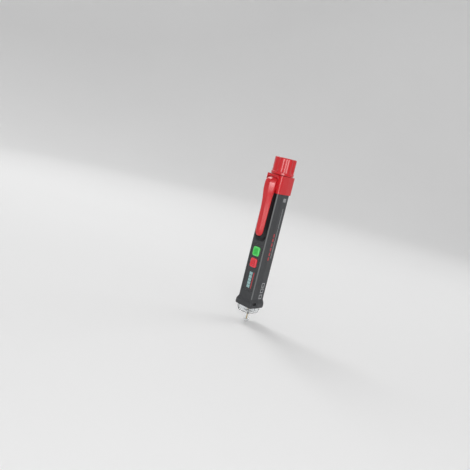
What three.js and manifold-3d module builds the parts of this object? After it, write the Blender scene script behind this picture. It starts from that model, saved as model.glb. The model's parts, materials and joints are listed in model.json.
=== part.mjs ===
import * as THREE from "three";
import { mergeVertices } from "three/addons/utils/BufferGeometryUtils.js";
import Module from "manifold-3d";

// A pen-type non contact voltage tester in millimetres, upright on the end of its tip. The pen's axis
// is Z, the keys and the pocket clip face -Y, and the end cap is at the top.

const wasm = await Module();
wasm.setup();

// ---- Driving dimensions ----------------------------------------------------------------------------

const gap = 0.3; // kept between pieces that touch
const cutMargin = 1; // how far a cutter runs past the face it opens

// Cells: two AAA in line
const cellDiameter = 10.5;
const cellLength = 44.5;
const nippleLength = 1;
const nippleRadius = 1.9;
const cellShoulder = 0.5;

// Body section
const bodyWidth = 17;
const bodyDepth = 19;
const wall = 1.5;
const seamY = -3.2; // the two shells meet in this plane
const creaseY = -0.4; // behind this line the sides turn inwards
const backNarrowing = 1; // on each side
const frontRadius = 1.5;
const backRadius = 3.4;

// Nose
const nubLength = 9.2;
const nubRadius = 2.8;
const domeLength = 6.8; // from the nub to the lower edge of the shells
const lensInset = 0.6; // from the body's outline to the side of the lens
const flareLength = 8.5;
const flareWidth = 1.7; // on each side, at its widest
const flareDepth = 1.1;
const lensWall = 1.5;
const flangeStep = 0.6; // how far the flange stands out of the lens
const flangeThickness = 1.6;
const flangeInset = 3.6; // from the lower edge of the shells to the lens flange
const earWidth = 4;
const earHeight = 1.6;
const earProud = 0.6;
const earY = -5.7;

// Electronics bay
const boardWidth = 13;
const boardThickness = 1;
const boardAboveFlare = 4.9;
const boardAboveKey = 5.9;
const lightKeyHeight = 42.2; // key centre above the lower edge of the shells
const keyPitch = 11;
const keyWidth = 7.4;
const keyHeight = 8.6;
const keyCorner = 1.9;
const keyProud = 0.8;
const keyFlangeThickness = 0.5;
const keyFlangeSide = 0.9;
const keyFlangeEnd = 0.35;
const keySlack = 0.3;
const switchHeight = 0.7;
const switchSize = 4.4;
const plungerRadius = 1.2;
const plungerProud = 0.35;
const plungerDepth = 0.3;
const panelThickness = 0.5;
const panelWidth = 13.4;
const panelBelowKeys = 27; // from the lower key's centre to the panel's lower edge
const panelAboveKeys = 6.8;
const panelCorner = 1.6;

// Clip and the recess behind it
const clipLength = 55;
const clipTopDrop = 2.8; // below the top of the collar
const clipHalfWidth = 4.5;
const clipFlatHalfWidth = 1.8;
const clipStandOff = 2.5; // from the body's front face to the clip's back
const clipThickness = 3.4;
const clipRootHalfWidth = 6.4;
const clipRootFlatHalfWidth = 2.7;
const clipHump = 2.2; // how far the root stands out past the blade
const recessHalfWidth = 7.3;
const recessDepth = 3.4;
const recessWall = 1.2;
const recessSlope = 5.5; // the length over which the recess reaches its full depth
const recessOvershoot = 6.4; // below the clip's end
const recessAboveKey = 9; // from the upper key's centre to the recess

// Tail
const collarLength = 16.5;
const collarWall = 0.9;
const collarFit = 0.25; // between the shells and the collar
const collarPlate = 1.5;
const saddleHalfWidth = 7;
const saddleProud = 1.6;
const neckLength = 10.5;
const neckWall = 1.2;
const neckClearance = 0.45;
const threadLead = 3;
const threadHeight = 0.6;
const threadBase = 1.1;
const threadCrest = 0.5;
const threadTurns = 2.2;
const threadClearance = 0.35;
const threadStart = 2.6; // above the collar
const capWall = 0.75;
const capTopWall = 2.3;
const fluteCount = 8;
const fluteDepth = 0.7;
const capBaseProud = 0.25;
const capBaseHeight = 2.6;
const capEdge = 0.8;
const capHeadroom = 3.4; // from the neck's rim to the inside of the cap's top
const sealSection = 0.6; // radius of the ring's section
const stripWidth = 4;
const sheetThickness = 0.3;
const contactClearance = 0.25;
const contactTab = 6; // from the plate under the cells down to its soldered end

// Inside pieces
const torchLedRadius = 2.5;
const torchLedY = 3.6;
const alarmLedRadius = 1.5;
const alarmLedY = -4.2;
const ledRim = 0.25;
const ledRimHeight = 1;
const holderHeight = 5;
const holderDrop = 0.4; // from the top of the lens flange to the holder
const antennaRadius = 0.6;
const antennaTop = 6;
const nubBore = 1.6;
const nubFloor = 2;
const buzzerRadius = 4.5;
const buzzerHeight = 4;
const buzzerPort = 1;
const buzzerAboveFlare = 16;
const screwRadius = 0.8;
const screwHeadRadius = 1.5;
const screwHeadHeight = 1;
const screwLength = 3;
const screwHole = 1.1;
const bossRadius = 2.1;
const screwX = 4.2;
const lowerScrewAboveFlare = 8.1;
const upperScrewAboveFlare = 22.1;
const ribThickness = 1.4;

// ---- Derived places --------------------------------------------------------------------------------

const cellRadius = cellDiameter / 2;

const noseZ = nubLength + domeLength; // lower edge of the shells
const flangeZ = noseZ + flangeInset;
const flareTopZ = noseZ + flareLength;
const lightKeyZ = noseZ + lightKeyHeight;
const powerKeyZ = lightKeyZ + keyPitch;
const recessZ = powerKeyZ + recessAboveKey;
const clipZ = recessZ + recessOvershoot;
const clipTopZ = clipZ + clipLength;
const collarTopZ = clipTopZ + clipTopDrop;
const collarZ = collarTopZ - collarLength;
const recessTopZ = collarZ + 1.5;
const shellTopZ = collarTopZ - collarPlate - gap;
const neckTopZ = collarTopZ + neckLength;
const capZ = collarTopZ + gap;
const capInnerTopZ = neckTopZ + capHeadroom;
const capTopZ = capInnerTopZ + capTopWall;

const cellsTopZ = collarTopZ + collarPlate;
const rearCellZ = cellsTopZ - cellLength;
const frontCellZ = rearCellZ - gap - cellLength;
const contactZ = frontCellZ - gap - sheetThickness; // the plate under the cells

const boardZ = flareTopZ + boardAboveFlare;
const boardTopZ = powerKeyZ + keyHeight / 2 + boardAboveKey;
const panelZ = lightKeyZ - panelBelowKeys;
const panelTopZ = powerKeyZ + panelAboveKeys;

const frontY = -bodyDepth / 2;
const innerFrontY = frontY + wall;
const keyFlangeFrontY = innerFrontY + gap;
const keyFlangeBackY = keyFlangeFrontY + keyFlangeThickness;
const plungerTipY = keyFlangeBackY + keySlack - 0.05;
const switchFrontY = plungerTipY + plungerProud;
const switchBackY = switchFrontY + switchHeight;
const boardFrontY = switchBackY + gap;
const boardBackY = boardFrontY + boardThickness;
const cellY = boardBackY + gap + cellRadius + 0.05;
const stripY = cellY + cellRadius + contactClearance;
const recessFloorY = frontY + recessDepth;

const neckBore = Math.abs(cellY) + cellRadius + neckClearance;
const neckRadius = neckBore + neckWall;
const threadRadius = neckRadius + threadHeight;
const capBore = neckRadius + threadClearance;
const capGroove = threadRadius + threadClearance;
const capRadius = capGroove + capWall + fluteDepth;
const sealRadius = neckRadius + sealSection + 0.15;
const sealSeat = sealRadius + sealSection + gap;

// ---- Solids and shapes -----------------------------------------------------------------------------

function solid(geometry) {
  const bare = geometry.clone();
  bare.deleteAttribute("normal");
  bare.deleteAttribute("uv");
  const merged = mergeVertices(bare, 1e-4);
  return new wasm.Manifold(
    new wasm.Mesh({
      numProp: 3,
      vertProperties: new Float32Array(merged.attributes.position.array),
      triVerts: new Uint32Array(merged.index.array),
    }),
  );
}

function geometryOf(piece) {
  const mesh = piece.getMesh();
  const geometry = new THREE.BufferGeometry();
  geometry.setAttribute("position", new THREE.BufferAttribute(mesh.vertProperties, 3));
  geometry.setIndex(new THREE.BufferAttribute(mesh.triVerts, 1));
  geometry.computeVertexNormals();
  return geometry;
}

function joined(...pieces) {
  return pieces.reduce((whole, piece) => whole.add(piece));
}

function block([x0, x1], [y0, y1], [z0, z1]) {
  const geometry = new THREE.BoxGeometry(x1 - x0, y1 - y0, z1 - z0);
  geometry.translate((x0 + x1) / 2, (y0 + y1) / 2, (z0 + z1) / 2);
  return solid(geometry);
}

// A round bar along Z, or along Y when alongY is true; its ends are then y values and (x, y) is (x, z).
function rod(radius, start, end, x, y, { sides = 24, alongY = false } = {}) {
  const geometry = new THREE.CylinderGeometry(radius, radius, end - start, sides);
  if (alongY) {
    geometry.translate(x, (start + end) / 2, y);
  } else {
    geometry.rotateX(Math.PI / 2);
    geometry.translate(x, y, (start + end) / 2);
  }
  return solid(geometry);
}

// A turned solid about Z from [radius, z] points, which rise along the outside and close on the axis
// or on the first point.
function turned(profile, segments = 40) {
  const points = profile.map(([radius, z]) => new THREE.Vector2(radius, z));
  const geometry = new THREE.LatheGeometry(points, segments);
  geometry.rotateX(Math.PI / 2);
  return solid(geometry);
}

// A closed outline through corners [x, y, radius]; a corner without a radius stays sharp.
function outline(corners) {
  const shape = new THREE.Shape();
  corners.forEach(([x, y, radius = 0], index) => {
    const corner = new THREE.Vector2(x, y);
    const [beforeX, beforeY] = corners.at(index - 1);
    const [afterX, afterY] = corners[(index + 1) % corners.length];
    const toBefore = new THREE.Vector2(beforeX - x, beforeY - y).normalize();
    const toAfter = new THREE.Vector2(afterX - x, afterY - y).normalize();
    const reach = radius / Math.tan(Math.acos(toBefore.dot(toAfter)) / 2);
    const start = corner.clone().addScaledVector(toBefore, reach);
    const end = corner.clone().addScaledVector(toAfter, reach);
    if (index === 0) shape.moveTo(start.x, start.y);
    else shape.lineTo(start.x, start.y);
    if (radius > 0) shape.quadraticCurveTo(x, y, end.x, end.y);
  });
  shape.closePath();
  return shape;
}

// The corners of one half of an outline, x > 0, and their mirror images.
function bothSides(corners) {
  const mirrored = corners.map(([x, y, radius]) => [-x, y, radius]).reverse();
  return outline([...corners, ...mirrored]);
}

function prism(shape, start, end, curveSegments = 6) {
  const depth = end - start;
  const geometry = new THREE.ExtrudeGeometry(shape, { depth, bevelEnabled: false, curveSegments });
  geometry.translate(0, 0, start);
  return solid(geometry);
}

// A prism whose outline lies in X and Z and which runs along Y from start to end.
function prismAlongY(shape, start, end, curveSegments = 6) {
  const depth = end - start;
  const geometry = new THREE.ExtrudeGeometry(shape, { depth, bevelEnabled: false, curveSegments });
  geometry.rotateX(Math.PI / 2);
  geometry.translate(0, end, 0);
  return solid(geometry);
}

// A prism whose outline lies in Y and Z and which runs along X from start to end.
function prismAlongX(shape, start, end, curveSegments = 6) {
  const depth = end - start;
  const geometry = new THREE.ExtrudeGeometry(shape, { depth, bevelEnabled: false, curveSegments });
  const turnToX = new THREE.Matrix4().set(0, 0, 1, start, 1, 0, 0, 0, 0, 1, 0, 0, 0, 0, 0, 1);
  geometry.applyMatrix4(turnToX);
  return solid(geometry);
}

// A prism whose layers lie at the stations' heights. place(x, y, station) moves each point of a layer.
function lofted(shape, stations, place, curveSegments = 6) {
  const steps = stations.length - 1;
  const settings = { depth: steps, steps, bevelEnabled: false, curveSegments };
  const geometry = new THREE.ExtrudeGeometry(shape, settings);
  const position = geometry.attributes.position;
  for (let i = 0; i < position.count; i++) {
    const station = stations[Math.round(position.getZ(i))];
    const [x, y] = place(position.getX(i), position.getY(i), station);
    position.setXYZ(i, x, y, station.z);
  }
  return solid(geometry);
}

function roundedRectangle(halfWidth, low, high, radius) {
  return bothSides([
    [halfWidth, low, radius],
    [halfWidth, high, radius],
  ]);
}

// A helical ridge about Z: its section stands out of inner by height, and it rises by lead each turn.
function helicalRidge(inner, height, base, crest, start, turns) {
  const stepsPerTurn = 24;
  const steps = Math.round(turns * stepsPerTurn);
  const section = outline([
    [inner, -base / 2],
    [inner + height, -crest / 2],
    [inner + height, crest / 2],
    [inner, base / 2],
  ]);
  const geometry = new THREE.ExtrudeGeometry(section, { depth: steps, steps, bevelEnabled: false });
  const position = geometry.attributes.position;
  for (let i = 0; i < position.count; i++) {
    const turn = Math.round(position.getZ(i)) / stepsPerTurn;
    const angle = turn * 2 * Math.PI;
    const radius = position.getX(i);
    const z = start + position.getY(i) + turn * threadLead;
    position.setXYZ(i, radius * Math.cos(angle), radius * Math.sin(angle), z);
  }
  return solid(flipped(geometry));
}

// The same geometry with its faces turned round.
function flipped(geometry) {
  const position = geometry.attributes.position;
  for (let i = 0; i < position.count; i += 3) {
    const first = [position.getX(i), position.getY(i), position.getZ(i)];
    position.setXYZ(i, position.getX(i + 1), position.getY(i + 1), position.getZ(i + 1));
    position.setXYZ(i + 1, ...first);
  }
  return geometry;
}

// A round wire along a smooth path.
function wire(radius, path, steps, sides = 8) {
  const section = new THREE.Shape();
  section.absarc(0, 0, radius, 0, 2 * Math.PI);
  const settings = { extrudePath: path, steps, bevelEnabled: false, curveSegments: sides / 2 };
  return solid(new THREE.ExtrudeGeometry(section, settings));
}

class CoilPath extends THREE.Curve {
  constructor(startRadius, endRadius, start, end, turns) {
    super();
    Object.assign(this, { startRadius, endRadius, start, end, turns });
  }

  getPoint(t, target = new THREE.Vector3()) {
    const angle = t * this.turns * 2 * Math.PI;
    const radius = THREE.MathUtils.lerp(this.startRadius, this.endRadius, t);
    const z = THREE.MathUtils.lerp(this.start, this.end, t);
    return target.set(radius * Math.cos(angle), radius * Math.sin(angle), z);
  }
}

// ---- Body section and shells -----------------------------------------------------------------------

// The body's outline moved inwards by inset: a flat front, straight sides up to the crease, then a
// narrower back with rounder corners.
function bodyOutline(inset) {
  const side = bodyWidth / 2 - inset;
  const back = bodyDepth / 2 - inset;
  return bothSides([
    [side, frontY + inset, Math.max(frontRadius - inset, gap)],
    [side, creaseY],
    [side - backNarrowing, back, Math.max(backRadius - inset, gap)],
  ]);
}

// How far the nose stands out of the body, as a share of its widest, at each share of its length.
const flareCurve = [
  [0, 0.8],
  [0.1, 0.95],
  [0.22, 1],
  [0.42, 0.97],
  [0.58, 0.82],
  [0.72, 0.52],
  [0.84, 0.22],
  [0.93, 0.06],
  [1, 0],
];

function flareStations() {
  return flareCurve.map(([share, amount]) => ({
    z: noseZ + share * flareLength,
    scaleX: 1 + (amount * flareWidth) / (bodyWidth / 2),
    scaleY: 1 + (amount * flareDepth) / (bodyDepth / 2),
  }));
}

function scaled(x, y, station) {
  return [x * station.scaleX, y * station.scaleY];
}

function shellsSolid() {
  const stations = [...flareStations(), { z: shellTopZ, scaleX: 1, scaleY: 1 }];
  const outside = lofted(bodyOutline(0), stations, scaled);
  const bay = prism(bodyOutline(wall), flangeZ + flangeThickness + gap, shellTopZ + cutMargin);
  const mouth = prism(bodyOutline(lensInset - gap), noseZ - cutMargin, flangeZ);
  const grooveTop = flangeZ + flangeThickness + gap + 0.1;
  const groove = prism(bodyOutline(lensInset - flangeStep - gap), flangeZ - gap, grooveTop);
  return outside.subtract(bay).subtract(mouth).subtract(groove);
}

function windowsForEars() {
  const halfWidth = earWidth / 2 + gap;
  const side = bodyWidth / 2 + flareWidth + cutMargin;
  const low = flangeZ + flangeThickness / 2 - earHeight / 2 - gap;
  const high = low + earHeight + 2 * gap;
  return block([-side, side], [earY - halfWidth, earY + halfWidth], [low, high]);
}

// The hollow behind the clip: round below, where its floor slopes in from the body's front face.
function recessSolid(grow) {
  const half = recessHalfWidth + grow;
  const low = recessZ - 2 * grow;
  const shape = bothSides([
    [half, low, half - 0.2],
    [half, recessTopZ + grow],
  ]);
  const floor = recessFloorY + grow;
  const front = frontY - cutMargin;
  const pitch = recessSlope / recessDepth;
  const wedge = outline([
    [front, low - pitch * cutMargin],
    [floor + cutMargin, low - pitch * cutMargin],
    [floor + cutMargin, low + pitch * (floor + cutMargin - frontY)],
  ]);
  const edge = half + cutMargin;
  return prismAlongY(shape, front, floor).subtract(prismAlongX(wedge, -edge, edge));
}

function keyHole(z) {
  const high = keyHeight / 2 + gap;
  const shape = roundedRectangle(keyWidth / 2 + gap, z - high, z + high, keyCorner + gap);
  return prismAlongY(shape, frontY - cutMargin, innerFrontY + cutMargin);
}

function boss(x, z) {
  return rod(bossRadius, innerFrontY - wall / 2, boardFrontY - gap, x, z, { alongY: true });
}

const screwPlaces = [
  ["lower_board_screw", screwX, flareTopZ + lowerScrewAboveFlare],
  ["upper_board_screw", -screwX, flareTopZ + upperScrewAboveFlare],
];

function screwHoles(start, end) {
  const holes = screwPlaces.map(([, x, z]) => rod(screwHole, start, end, x, z, { alongY: true }));
  return joined(...holes);
}

const shells = shellsSolid();
const reach = bodyWidth + bodyDepth; // larger than the body on every side

function frontShell() {
  const half = block([-reach, reach], [-reach, seamY - gap / 2], [noseZ - 1, shellTopZ + 1]);
  const recessFrame = recessSolid(recessWall).intersect(
    block([-reach, reach], [frontY + 0.1, seamY], [recessZ - reach, shellTopZ - 1]),
  );
  const insideOutline = prism(bodyOutline(wall / 2), flareTopZ, shellTopZ);
  const posts = joined(...screwPlaces.map(([, x, z]) => boss(x, z)));
  const panelSeat = prismAlongY(
    roundedRectangle(panelWidth / 2 + 0.15, panelZ - 0.15, panelTopZ + 0.15, panelCorner),
    frontY - cutMargin,
    frontY + panelThickness + gap,
  );
  return shells
    .intersect(half)
    .add(recessFrame.intersect(insideOutline))
    .add(posts)
    .subtract(recessSolid(0))
    .subtract(panelSeat)
    .subtract(keyHole(lightKeyZ))
    .subtract(keyHole(powerKeyZ))
    .subtract(screwHoles(innerFrontY, boardFrontY + cutMargin))
    .subtract(windowsForEars());
}

function backShell() {
  const half = block([-reach, reach], [seamY + gap / 2, reach], [noseZ - 1, shellTopZ + 1]);
  const ribZ = [contactZ - gap - ribThickness, contactZ - gap];
  const inside = prism(bodyOutline(wall / 2), flareTopZ, shellTopZ);
  const rib = block([-reach, reach], [seamY + gap / 2, reach], ribZ).intersect(inside);
  const portZ = flareTopZ + buzzerAboveFlare;
  const ports = [-2.4, 0, 2.4].map((step) =>
    rod(buzzerPort, 0, reach, 0, portZ + step * 1.2, { alongY: true, sides: 16 }),
  );
  const stripSlot = block(
    [-stripWidth / 2 - gap, stripWidth / 2 + gap],
    [stripY - gap, stripY + sheetThickness + gap],
    [contactZ - 2 * ribThickness, contactZ + cutMargin],
  );
  return shells.intersect(half).add(rib).subtract(stripSlot).subtract(joined(...ports));
}

function frontPanel() {
  const shape = roundedRectangle(panelWidth / 2, panelZ, panelTopZ, panelCorner - 0.15);
  return prismAlongY(shape, frontY, frontY + panelThickness)
    .subtract(keyHole(lightKeyZ))
    .subtract(keyHole(powerKeyZ));
}

// ---- Keys and switches -----------------------------------------------------------------------------

function key(z) {
  const half = keyWidth / 2;
  const high = keyHeight / 2;
  const edge = 0.4;
  const top = roundedRectangle(half, z - high, z + high, keyCorner);
  const crown = roundedRectangle(half - edge, z - high + edge, z + high - edge, keyCorner - edge);
  const flange = roundedRectangle(
    half + keyFlangeSide,
    z - high - keyFlangeEnd,
    z + high + keyFlangeEnd,
    keyCorner,
  );
  return joined(
    prismAlongY(top, frontY - keyProud + edge, keyFlangeBackY),
    prismAlongY(crown, frontY - keyProud, keyFlangeFrontY),
    prismAlongY(flange, keyFlangeFrontY, keyFlangeBackY),
  );
}

function switchBody(z) {
  const half = switchSize / 2;
  const base = block([-half, half], [switchFrontY, switchBackY], [z - half, z + half]);
  const bore = plungerRadius + gap;
  const hole = rod(bore, switchFrontY - 1, switchBackY + 1, 0, z, { alongY: true });
  return base.subtract(hole);
}

function plunger(z) {
  return rod(plungerRadius, plungerTipY, switchFrontY + plungerDepth, 0, z, { alongY: true });
}

// ---- Tail: collar, clip, cap -----------------------------------------------------------------------

function tailCollar() {
  const outer = -(collarFit + collarWall);
  const sleeve = prism(bodyOutline(outer), collarZ, collarTopZ);
  const saddleFront = frontY - collarFit - collarWall - saddleProud;
  const saddle = prismAlongY(
    roundedRectangle(saddleHalfWidth, collarZ + 2.2, collarTopZ, 2.4),
    saddleFront,
    frontY,
  );
  const neck = rod(neckRadius, collarTopZ - collarPlate, neckTopZ, 0, 0, { sides: 40 });
  const ridge = helicalRidge(
    neckRadius - 0.2,
    threadHeight + 0.2,
    threadBase,
    threadCrest,
    collarTopZ + threadStart,
    threadTurns,
  );
  const socket = prism(bodyOutline(-collarFit), collarZ - cutMargin, shellTopZ + gap);
  const bore = rod(neckBore, collarZ, neckTopZ + cutMargin, 0, 0, { sides: 36 });
  const stripSlot = block(
    [-stripWidth / 2 - gap, stripWidth / 2 + gap],
    [0, stripY + sheetThickness + gap],
    [collarZ, neckTopZ + cutMargin],
  );
  const clipPocket = prismAlongY(
    roundedRectangle(clipRootHalfWidth + 0.1, collarZ - 4, clipTopZ + 0.4, 2),
    saddleFront - cutMargin,
    frontY - collarFit - 0.3,
  );
  return joined(sleeve, saddle, neck, ridge)
    .subtract(socket)
    .subtract(bore)
    .subtract(stripSlot)
    .subtract(clipPocket);
}

// The clip's section at each station: a flat front between two bevels. under, side and front are y.
const clipBladeUnder = frontY - clipStandOff;
const clipBladeFront = clipBladeUnder - clipThickness;
const clipRootUnder = frontY - collarFit - 0.3 - gap;
const clipHumpFront = clipBladeFront - clipHump;

function clipStation(z, halfWidth, flat, front, under) {
  const side = Math.min(front + (halfWidth - flat), under - 0.2);
  return { z, halfWidth, flat, side, front, under };
}

function clipStations() {
  const tip = clipZ;
  const root = clipTopZ;
  const rootWide = clipRootHalfWidth - 0.2;
  return [
    clipStation(tip, clipHalfWidth - 3, 0.6, clipBladeFront + 2, clipBladeUnder + 0.3),
    clipStation(tip + 0.8, clipHalfWidth - 1.4, 1.1, clipBladeFront + 0.9, clipBladeUnder + 0.6),
    clipStation(tip + 2.4, clipHalfWidth - 0.4, 1.6, clipBladeFront + 0.2, clipBladeUnder + 0.7),
    clipStation(tip + 5, clipHalfWidth, clipFlatHalfWidth, clipBladeFront, clipBladeUnder),
    clipStation(root - 26, clipHalfWidth + 0.6, 2.1, clipBladeFront - 0.5, clipBladeUnder),
    clipStation(root - 18, clipHalfWidth + 0.9, 2.3, clipBladeFront - 1.2, clipBladeUnder),
    clipStation(root - 12, rootWide - 0.2, 2.6, clipHumpFront + 0.1, clipBladeUnder),
    clipStation(root - 11, rootWide, clipRootFlatHalfWidth, clipHumpFront, clipRootUnder),
    clipStation(root - 6, rootWide, clipRootFlatHalfWidth, clipHumpFront, clipRootUnder),
    clipStation(root - 3, rootWide, 2.5, clipHumpFront + 0.8, clipRootUnder),
    clipStation(root - 1.2, rootWide - 0.3, 2.2, clipHumpFront + 2.1, clipRootUnder),
    clipStation(root, rootWide - 1.2, 1.8, clipHumpFront + 4, clipRootUnder),
  ];
}

function pocketClip() {
  const section = outline([
    [-2, 0],
    [-1, -2],
    [1, -2],
    [2, 0],
    [2, 1],
    [-2, 1],
  ]);
  return lofted(section, clipStations(), (x, y, station) => {
    const wide = Math.abs(x) > 1.5 ? station.halfWidth : station.flat;
    const depths = { [-2]: station.front, 0: station.side, 1: station.under };
    return [Math.sign(x) * wide, depths[Math.round(y)]];
  });
}

function flutedOutline(radius) {
  const points = [];
  const pointsPerFlute = 8;
  const count = fluteCount * pointsPerFlute;
  for (let i = 0; i < count; i++) {
    const angle = (i / count) * 2 * Math.PI;
    const dip = (0.5 + 0.5 * Math.cos(fluteCount * angle)) ** 1.6;
    const r = radius - fluteDepth * dip;
    points.push(new THREE.Vector2(r * Math.cos(angle), r * Math.sin(angle)));
  }
  return new THREE.Shape(points);
}

function endCap() {
  const edge = (capRadius - capEdge) / capRadius;
  const soft = (capRadius - capEdge * 0.3) / capRadius;
  const stations = [
    { z: capZ, scaleX: 1, scaleY: 1 },
    { z: capTopZ - capEdge, scaleX: soft, scaleY: soft },
    { z: capTopZ - capEdge * 0.3, scaleX: (soft + edge) / 2, scaleY: (soft + edge) / 2 },
    { z: capTopZ, scaleX: edge, scaleY: edge },
  ];
  const body = lofted(flutedOutline(capRadius), stations, scaled);
  const baseRadius = capRadius + capBaseProud;
  const base = turned([
    [0, capZ],
    [baseRadius - 0.3, capZ],
    [baseRadius, capZ + 0.3],
    [baseRadius, capZ + capBaseHeight - 0.5],
    [baseRadius - 0.5, capZ + capBaseHeight],
    [0, capZ + capBaseHeight],
  ]);
  const bore = rod(capBore, capZ - cutMargin, capInnerTopZ, 0, 0, { sides: 40 });
  const sealSpace = rod(sealSeat, capZ - cutMargin, capZ + 2 * sealSection + 0.6, 0, 0, { sides: 36 });
  const groove = helicalRidge(
    capBore - 0.2,
    threadHeight + 0.2,
    threadBase + 2 * threadClearance,
    threadCrest + 2 * threadClearance,
    collarTopZ + threadStart - threadLead,
    threadTurns + 1.6,
  );
  return joined(body, base).subtract(bore).subtract(sealSpace).subtract(groove);
}

function capSeal() {
  const points = [];
  const sides = 8;
  const z = collarTopZ + sealSection + 0.1;
  for (let i = 0; i <= sides; i++) {
    const angle = (i / sides) * 2 * Math.PI;
    points.push([sealRadius + sealSection * Math.cos(angle), z + sealSection * Math.sin(angle)]);
  }
  return turned(points, 36);
}

// ---- Cells and contacts ----------------------------------------------------------------------------

function cell(z) {
  const top = z + cellLength;
  const body = turned(
    [
      [0, z],
      [nippleRadius, z],
      [nippleRadius, z + nippleLength],
      [cellRadius - cellShoulder, z + nippleLength],
      [cellRadius, z + nippleLength + cellShoulder],
      [cellRadius, top - cellShoulder],
      [cellRadius - cellShoulder, top],
      [0, top],
    ],
    32,
  );
  return body.translate([0, cellY, 0]);
}

// A plate under the cells with a tab that reaches down behind the board.
function frontContact() {
  const half = cellRadius - 0.6;
  const z = [contactZ, contactZ + sheetThickness];
  const plate = block([-half, half], [boardBackY + gap, cellY + half], z);
  const tab = block(
    [-1.2, 1.2],
    [boardBackY + gap, boardBackY + gap + sheetThickness],
    [contactZ - contactTab, contactZ + sheetThickness],
  );
  return plate.add(tab);
}

// The return path: a strip along the back of the cells, folded over the neck's rim at the top and
// towards the board at the bottom.
function contactStrip() {
  const half = stripWidth / 2;
  const foot = contactZ - contactTab - 2;
  const rim = neckTopZ + gap;
  const back = stripY + sheetThickness;
  const profile = outline([
    [boardBackY + gap, foot],
    [back, foot],
    [back, rim],
    [neckRadius - 0.1, rim],
    [neckRadius - 0.1, rim + sheetThickness],
    [stripY, rim + sheetThickness],
    [stripY, foot + sheetThickness],
    [boardBackY + gap, foot + sheetThickness],
  ]);
  return prismAlongX(profile, -half, half);
}

function tailContact() {
  const radius = capBore - gap - 0.2;
  const inner = radius - 0.5;
  const topZ = capInnerTopZ - gap;
  const lowZ = neckTopZ + 2 * gap + 2 * sheetThickness;
  return turned(
    [
      [0, topZ - 0.5],
      [inner, topZ - 0.5],
      [inner, lowZ],
      [radius, lowZ],
      [radius, topZ],
      [0, topZ],
    ],
    40,
  );
}

function tailSpring() {
  const wireRadius = 0.4;
  const start = cellsTopZ + gap + wireRadius;
  const end = capInnerTopZ - gap - 0.5 - gap - wireRadius;
  return wire(wireRadius, new CoilPath(2.6, 4.4, start, end, 5), 70, 6);
}

// ---- Nose: lens, light sources, antenna -------------------------------------------------------------

// How far the lens draws in, as a scale, from its lower face up to its full outline.
const lensStations = [
  { z: nubLength, scaleX: 0.72, scaleY: 0.76 },
  { z: nubLength + 0.3, scaleX: 0.81, scaleY: 0.84 },
  { z: nubLength + 1, scaleX: 0.89, scaleY: 0.9 },
  { z: nubLength + 2.4, scaleX: 0.95, scaleY: 0.955 },
  { z: nubLength + 4.6, scaleX: 0.99, scaleY: 0.99 },
  { z: noseZ, scaleX: 1, scaleY: 1 },
];

function lensShape(inset, raised, topZ) {
  const stations = lensStations.map((station) => ({ ...station, z: station.z + raised }));
  stations.push({ z: topZ, scaleX: 1, scaleY: 1 });
  return lofted(bodyOutline(inset), stations, scaled, 4);
}

function tipLens() {
  const rimZ = flangeZ + flangeThickness;
  const nub = turned(
    [
      [0, 0],
      [nubRadius - 1.3, 0],
      [nubRadius - 0.5, 0.5],
      [nubRadius - 0.1, 1.5],
      [nubRadius, 3],
      [nubRadius + 0.1, nubLength - 1.6],
      [nubRadius + 0.5, nubLength - 0.6],
      [nubRadius + 1.4, nubLength + 0.1],
      [0, nubLength + 0.1],
    ],
    32,
  );
  const middle = flangeZ + flangeThickness / 2;
  const earX = bodyWidth / 2 - lensInset + flangeStep + earProud;
  const ears = block(
    [-earX, earX],
    [earY - earWidth / 2, earY + earWidth / 2],
    [middle - earHeight / 2, middle + earHeight / 2],
  );
  return joined(
    lensShape(lensInset, 0, rimZ),
    prism(bodyOutline(lensInset - flangeStep), flangeZ, rimZ, 4),
    ears,
    nub,
  )
    .subtract(lensShape(lensInset + lensWall, lensWall, middle + earHeight))
    .subtract(rod(nubBore, nubFloor, nubLength + lensWall + 1, 0, 0));
}

const holderZ = flangeZ + flangeThickness + holderDrop;

function ledProfile(radius, tip, rimTop) {
  return [
    [0, tip],
    [radius * 0.5, tip + radius * 0.14],
    [radius * 0.86, tip + radius * 0.5],
    [radius, tip + radius],
    [radius, rimTop - ledRimHeight],
    [radius + ledRim, rimTop - ledRimHeight],
    [radius + ledRim, rimTop],
    [0, rimTop],
  ];
}

function led(radius, y, tip) {
  return turned(ledProfile(radius, tip, holderZ - gap), 24).translate([0, y, 0]);
}

function ledHolder() {
  const body = prism(bodyOutline(wall + gap), holderZ, holderZ + holderHeight);
  const leads = [torchLedY, alarmLedY].map((y) =>
    rod(1, holderZ - cutMargin, holderZ + holderHeight + cutMargin, 0, y, { sides: 16 }),
  );
  const pass = rod(antennaRadius + gap, holderZ - 1, holderZ + holderHeight + 1, 0, 0);
  return body.subtract(joined(...leads)).subtract(pass);
}

function antenna() {
  const boardSide = boardBackY + gap + antennaRadius + 0.1;
  const bendZ = holderZ + holderHeight + 1.2;
  const path = new THREE.CurvePath();
  const low = new THREE.Vector3(0, 0, nubFloor + gap);
  const bend = new THREE.Vector3(0, 0, bendZ);
  const offset = new THREE.Vector3(0, boardSide, bendZ + 4);
  const top = new THREE.Vector3(0, boardSide, bendZ + 4 + antennaTop / 2);
  path.add(new THREE.LineCurve3(low, bend));
  const pull = new THREE.Vector3(0, 0, 2);
  const leave = bend.clone().add(pull);
  const arrive = offset.clone().sub(pull);
  path.add(new THREE.CubicBezierCurve3(bend, leave, arrive, offset));
  path.add(new THREE.LineCurve3(offset, top));
  return wire(antennaRadius, path, 24, 8);
}

// ---- Circuit board and what is on it -----------------------------------------------------------------

function circuitBoard() {
  const half = boardWidth / 2;
  const shape = roundedRectangle(half, boardZ, boardTopZ, 1);
  const board = prismAlongY(shape, boardFrontY, boardBackY, 2);
  return board.subtract(screwHoles(boardFrontY - 1, boardBackY + 1));
}

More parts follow.
